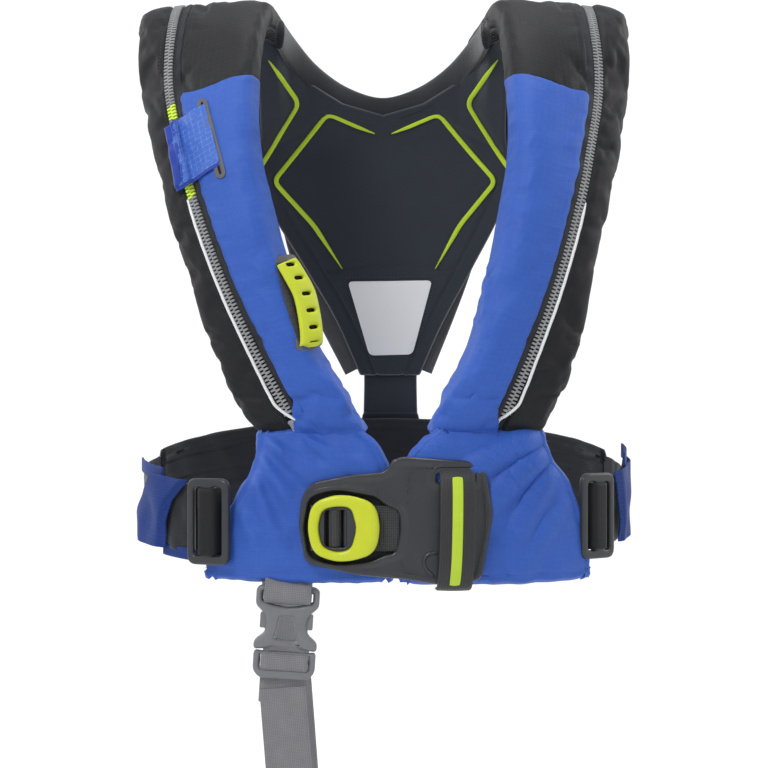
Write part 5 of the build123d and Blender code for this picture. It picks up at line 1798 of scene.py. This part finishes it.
def make_crotch_webbing():
    path = curve_through([(3.5, 48), (-1.0, 36.0), (-8.2, 27.5), (-9.3, 22), (-7, 16.2),
                          (0, 14.4), (7, 16.2), (9.3, 22), (7.4, 28), (5.4, 36), (5.6, 48)], 70)
    points = in_buckle(np.zeros(70), path[:, 0], path[:, 1])
    way = np.gradient(path, axis=0)
    out = unit(in_buckle(np.zeros(70), -way[:, 1], way[:, 0]) - BUCKLE_PLACE)
    hanger = band_object("crotch_hanger_webbing", points, -out, CROTCH_WIDTH, 2.1, GREY_WEB)
    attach(hanger, "harness")
    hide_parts("crotch_hanger")
    path = curve_through([(2.0, -31), (-4.0, -30.6), (-6.4, -33), (-6.9, -36.8), (-6.2, -40.4),
                          (-4.0, -42.6), (1.5, -44), (2.4, -50), (2.2, -60), (2.0, -72)], 40)
    points = in_buckle(np.zeros(40), path[:, 0], path[:, 1])
    way = np.gradient(path, axis=0)
    out = unit(in_buckle(np.zeros(40), -way[:, 1], way[:, 0]) - BUCKLE_PLACE)
    wrap = band_object("ladder_strap", points, -out, CROTCH_WIDTH, 1.8, GREY_WEB)
    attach(wrap, "buckle_tongue")
    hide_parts("ladder_webbing")
    box_low, box_high = [np.array(c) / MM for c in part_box("rear_strap_tab")]
    x, y = (box_low + box_high)[:2] / 2
    z = np.linspace(box_low[2] - 12, box_high[2], 40)
    path = np.stack([np.full(40, x), np.full(40, y) + 0.6 * np.sin(z / 9), z], 1)
    tab = band_object("rear_strap_webbing", path, np.tile([0, 1.0, 0], (40, 1)), CROTCH_WIDTH, 2.2,
                      GREY_WEB)
    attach(tab, "harness")
    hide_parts("rear_strap_tab")


SOCKET = [(-27, 11), (-27, 25), (-23, 28), (23, 28), (27, 25), (27, 11), (18.5, 3), (17, -5),
          (18.5, -12.5), (27, -19.5), (27, -27), (17, -26), (0, -20.8), (-17, -26), (-27, -27),
          (-27, -19.5), (-18.5, -12.5), (-17, -5), (-18.5, 3)]
SOCKET_WINDOW = [(-5.6, 1.8), (5.6, 1.8), (9.8, -17.6), (0, -18.0), (-9.8, -17.6)]
SOCKET_SLOT = [(-21.5, 22.5), (21.5, 22.5), (21.5, 15.0), (11, 11.2), (0, 9.8), (-11, 11.2),
               (-21.5, 15.0)]
TONGUE = [(-26.5, -27.6), (-20, -28.4), (20, -28.4), (26.5, -27.6), (26.5, -45), (20, -51.5),
          (-20, -51.5), (-26.5, -45)]
TONGUE_OPENING = [(-20.6, -30.5), (20.6, -30.5), (20.6, -43), (-20.6, -43)]


def make_buckle_parts():
    def warp(depth):
        return lambda x, z, height: in_buckle(x, depth / 2 - height, z)

    def socket_relief(x, z, edge):
        ribs = np.min([distance_open(np.array([(s * 9, 2), (s * 13.5, -20)], float),
                                     np.stack([x, z], 1)) for s in (-1, 1)], 0)
        return (0.9 * smooth(0, 4, edge) - 0.8 * bell(ribs, 0.9)
                - 1.6 * smooth(16, 26, np.abs(x)) * smooth(14, 4, z))
    socket = moulded("buckle_socket_body", [rounded(SOCKET, 3.2, 5), rounded(SOCKET_WINDOW, 1.8, 5),
                                            rounded(SOCKET_SLOT, 1.2, 3)],
                     12.2, 2.2, GREY_PLASTIC, warp(13), 3.0, relief=socket_relief)
    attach(socket, "harness")
    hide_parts("buckle_socket")
    tongue_loops = [rounded(TONGUE, 4, 5), rounded(TONGUE_OPENING, 1.5, 4)]
    tongue = moulded("buckle_tongue_frame", tongue_loops, 10.5, 2.0, GREY_PLASTIC, warp(11), 4.0,
                     relief=lambda x, z, e: 0.6 * smooth(0, 3, e))
    z = np.linspace(-20, 20, 24)
    bar = in_buckle(z, np.full(24, 0.5), np.full(24, -36.5))
    rod = merged("buckle_tongue_bar", [rings_mesh(round_rings(bar, 2.4, 14))], GREY_PLASTIC, 50)
    for piece in (tongue, rod):
        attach(piece, "buckle_tongue")
    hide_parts("buckle_tongue")


def dress(nodes, look):
    for name in nodes:
        mesh = frame["nodes"][name].data
        mesh.materials.clear()
        mesh.materials.append(look)
        mesh.shade_smooth()
        mesh.set_sharp_from_angle(angle=math.radians(35))


def dress_cad_nodes():
    dress(["buckle_prong_left", "buckle_prong_right"], GREY_PLASTIC)
    dress(["jerk_lever_pin"], STEEL)
    dress(["firing_head", "oral_tube", "oral_tube_cap", "light_battery"], BLACK_PLASTIC)
    dress(["jerk_lever"], RED)
    dress(["whistle"], ORANGE)
    dress(["light_lens"], CLEAR)
    dress(["spray_hood"], HOOD)
    dress(["gas_cylinder"], PAINT)


# --- everything ------------------------------------------------------------------------------

make_camera()
make_crotch_strap()
make_cover()
make_zip()
make_tab_and_handle()
make_slider()
make_yoke()
make_belt()
make_plate()
make_crotch_webbing()
make_buckle_parts()
dress_cad_nodes()
make_studio()
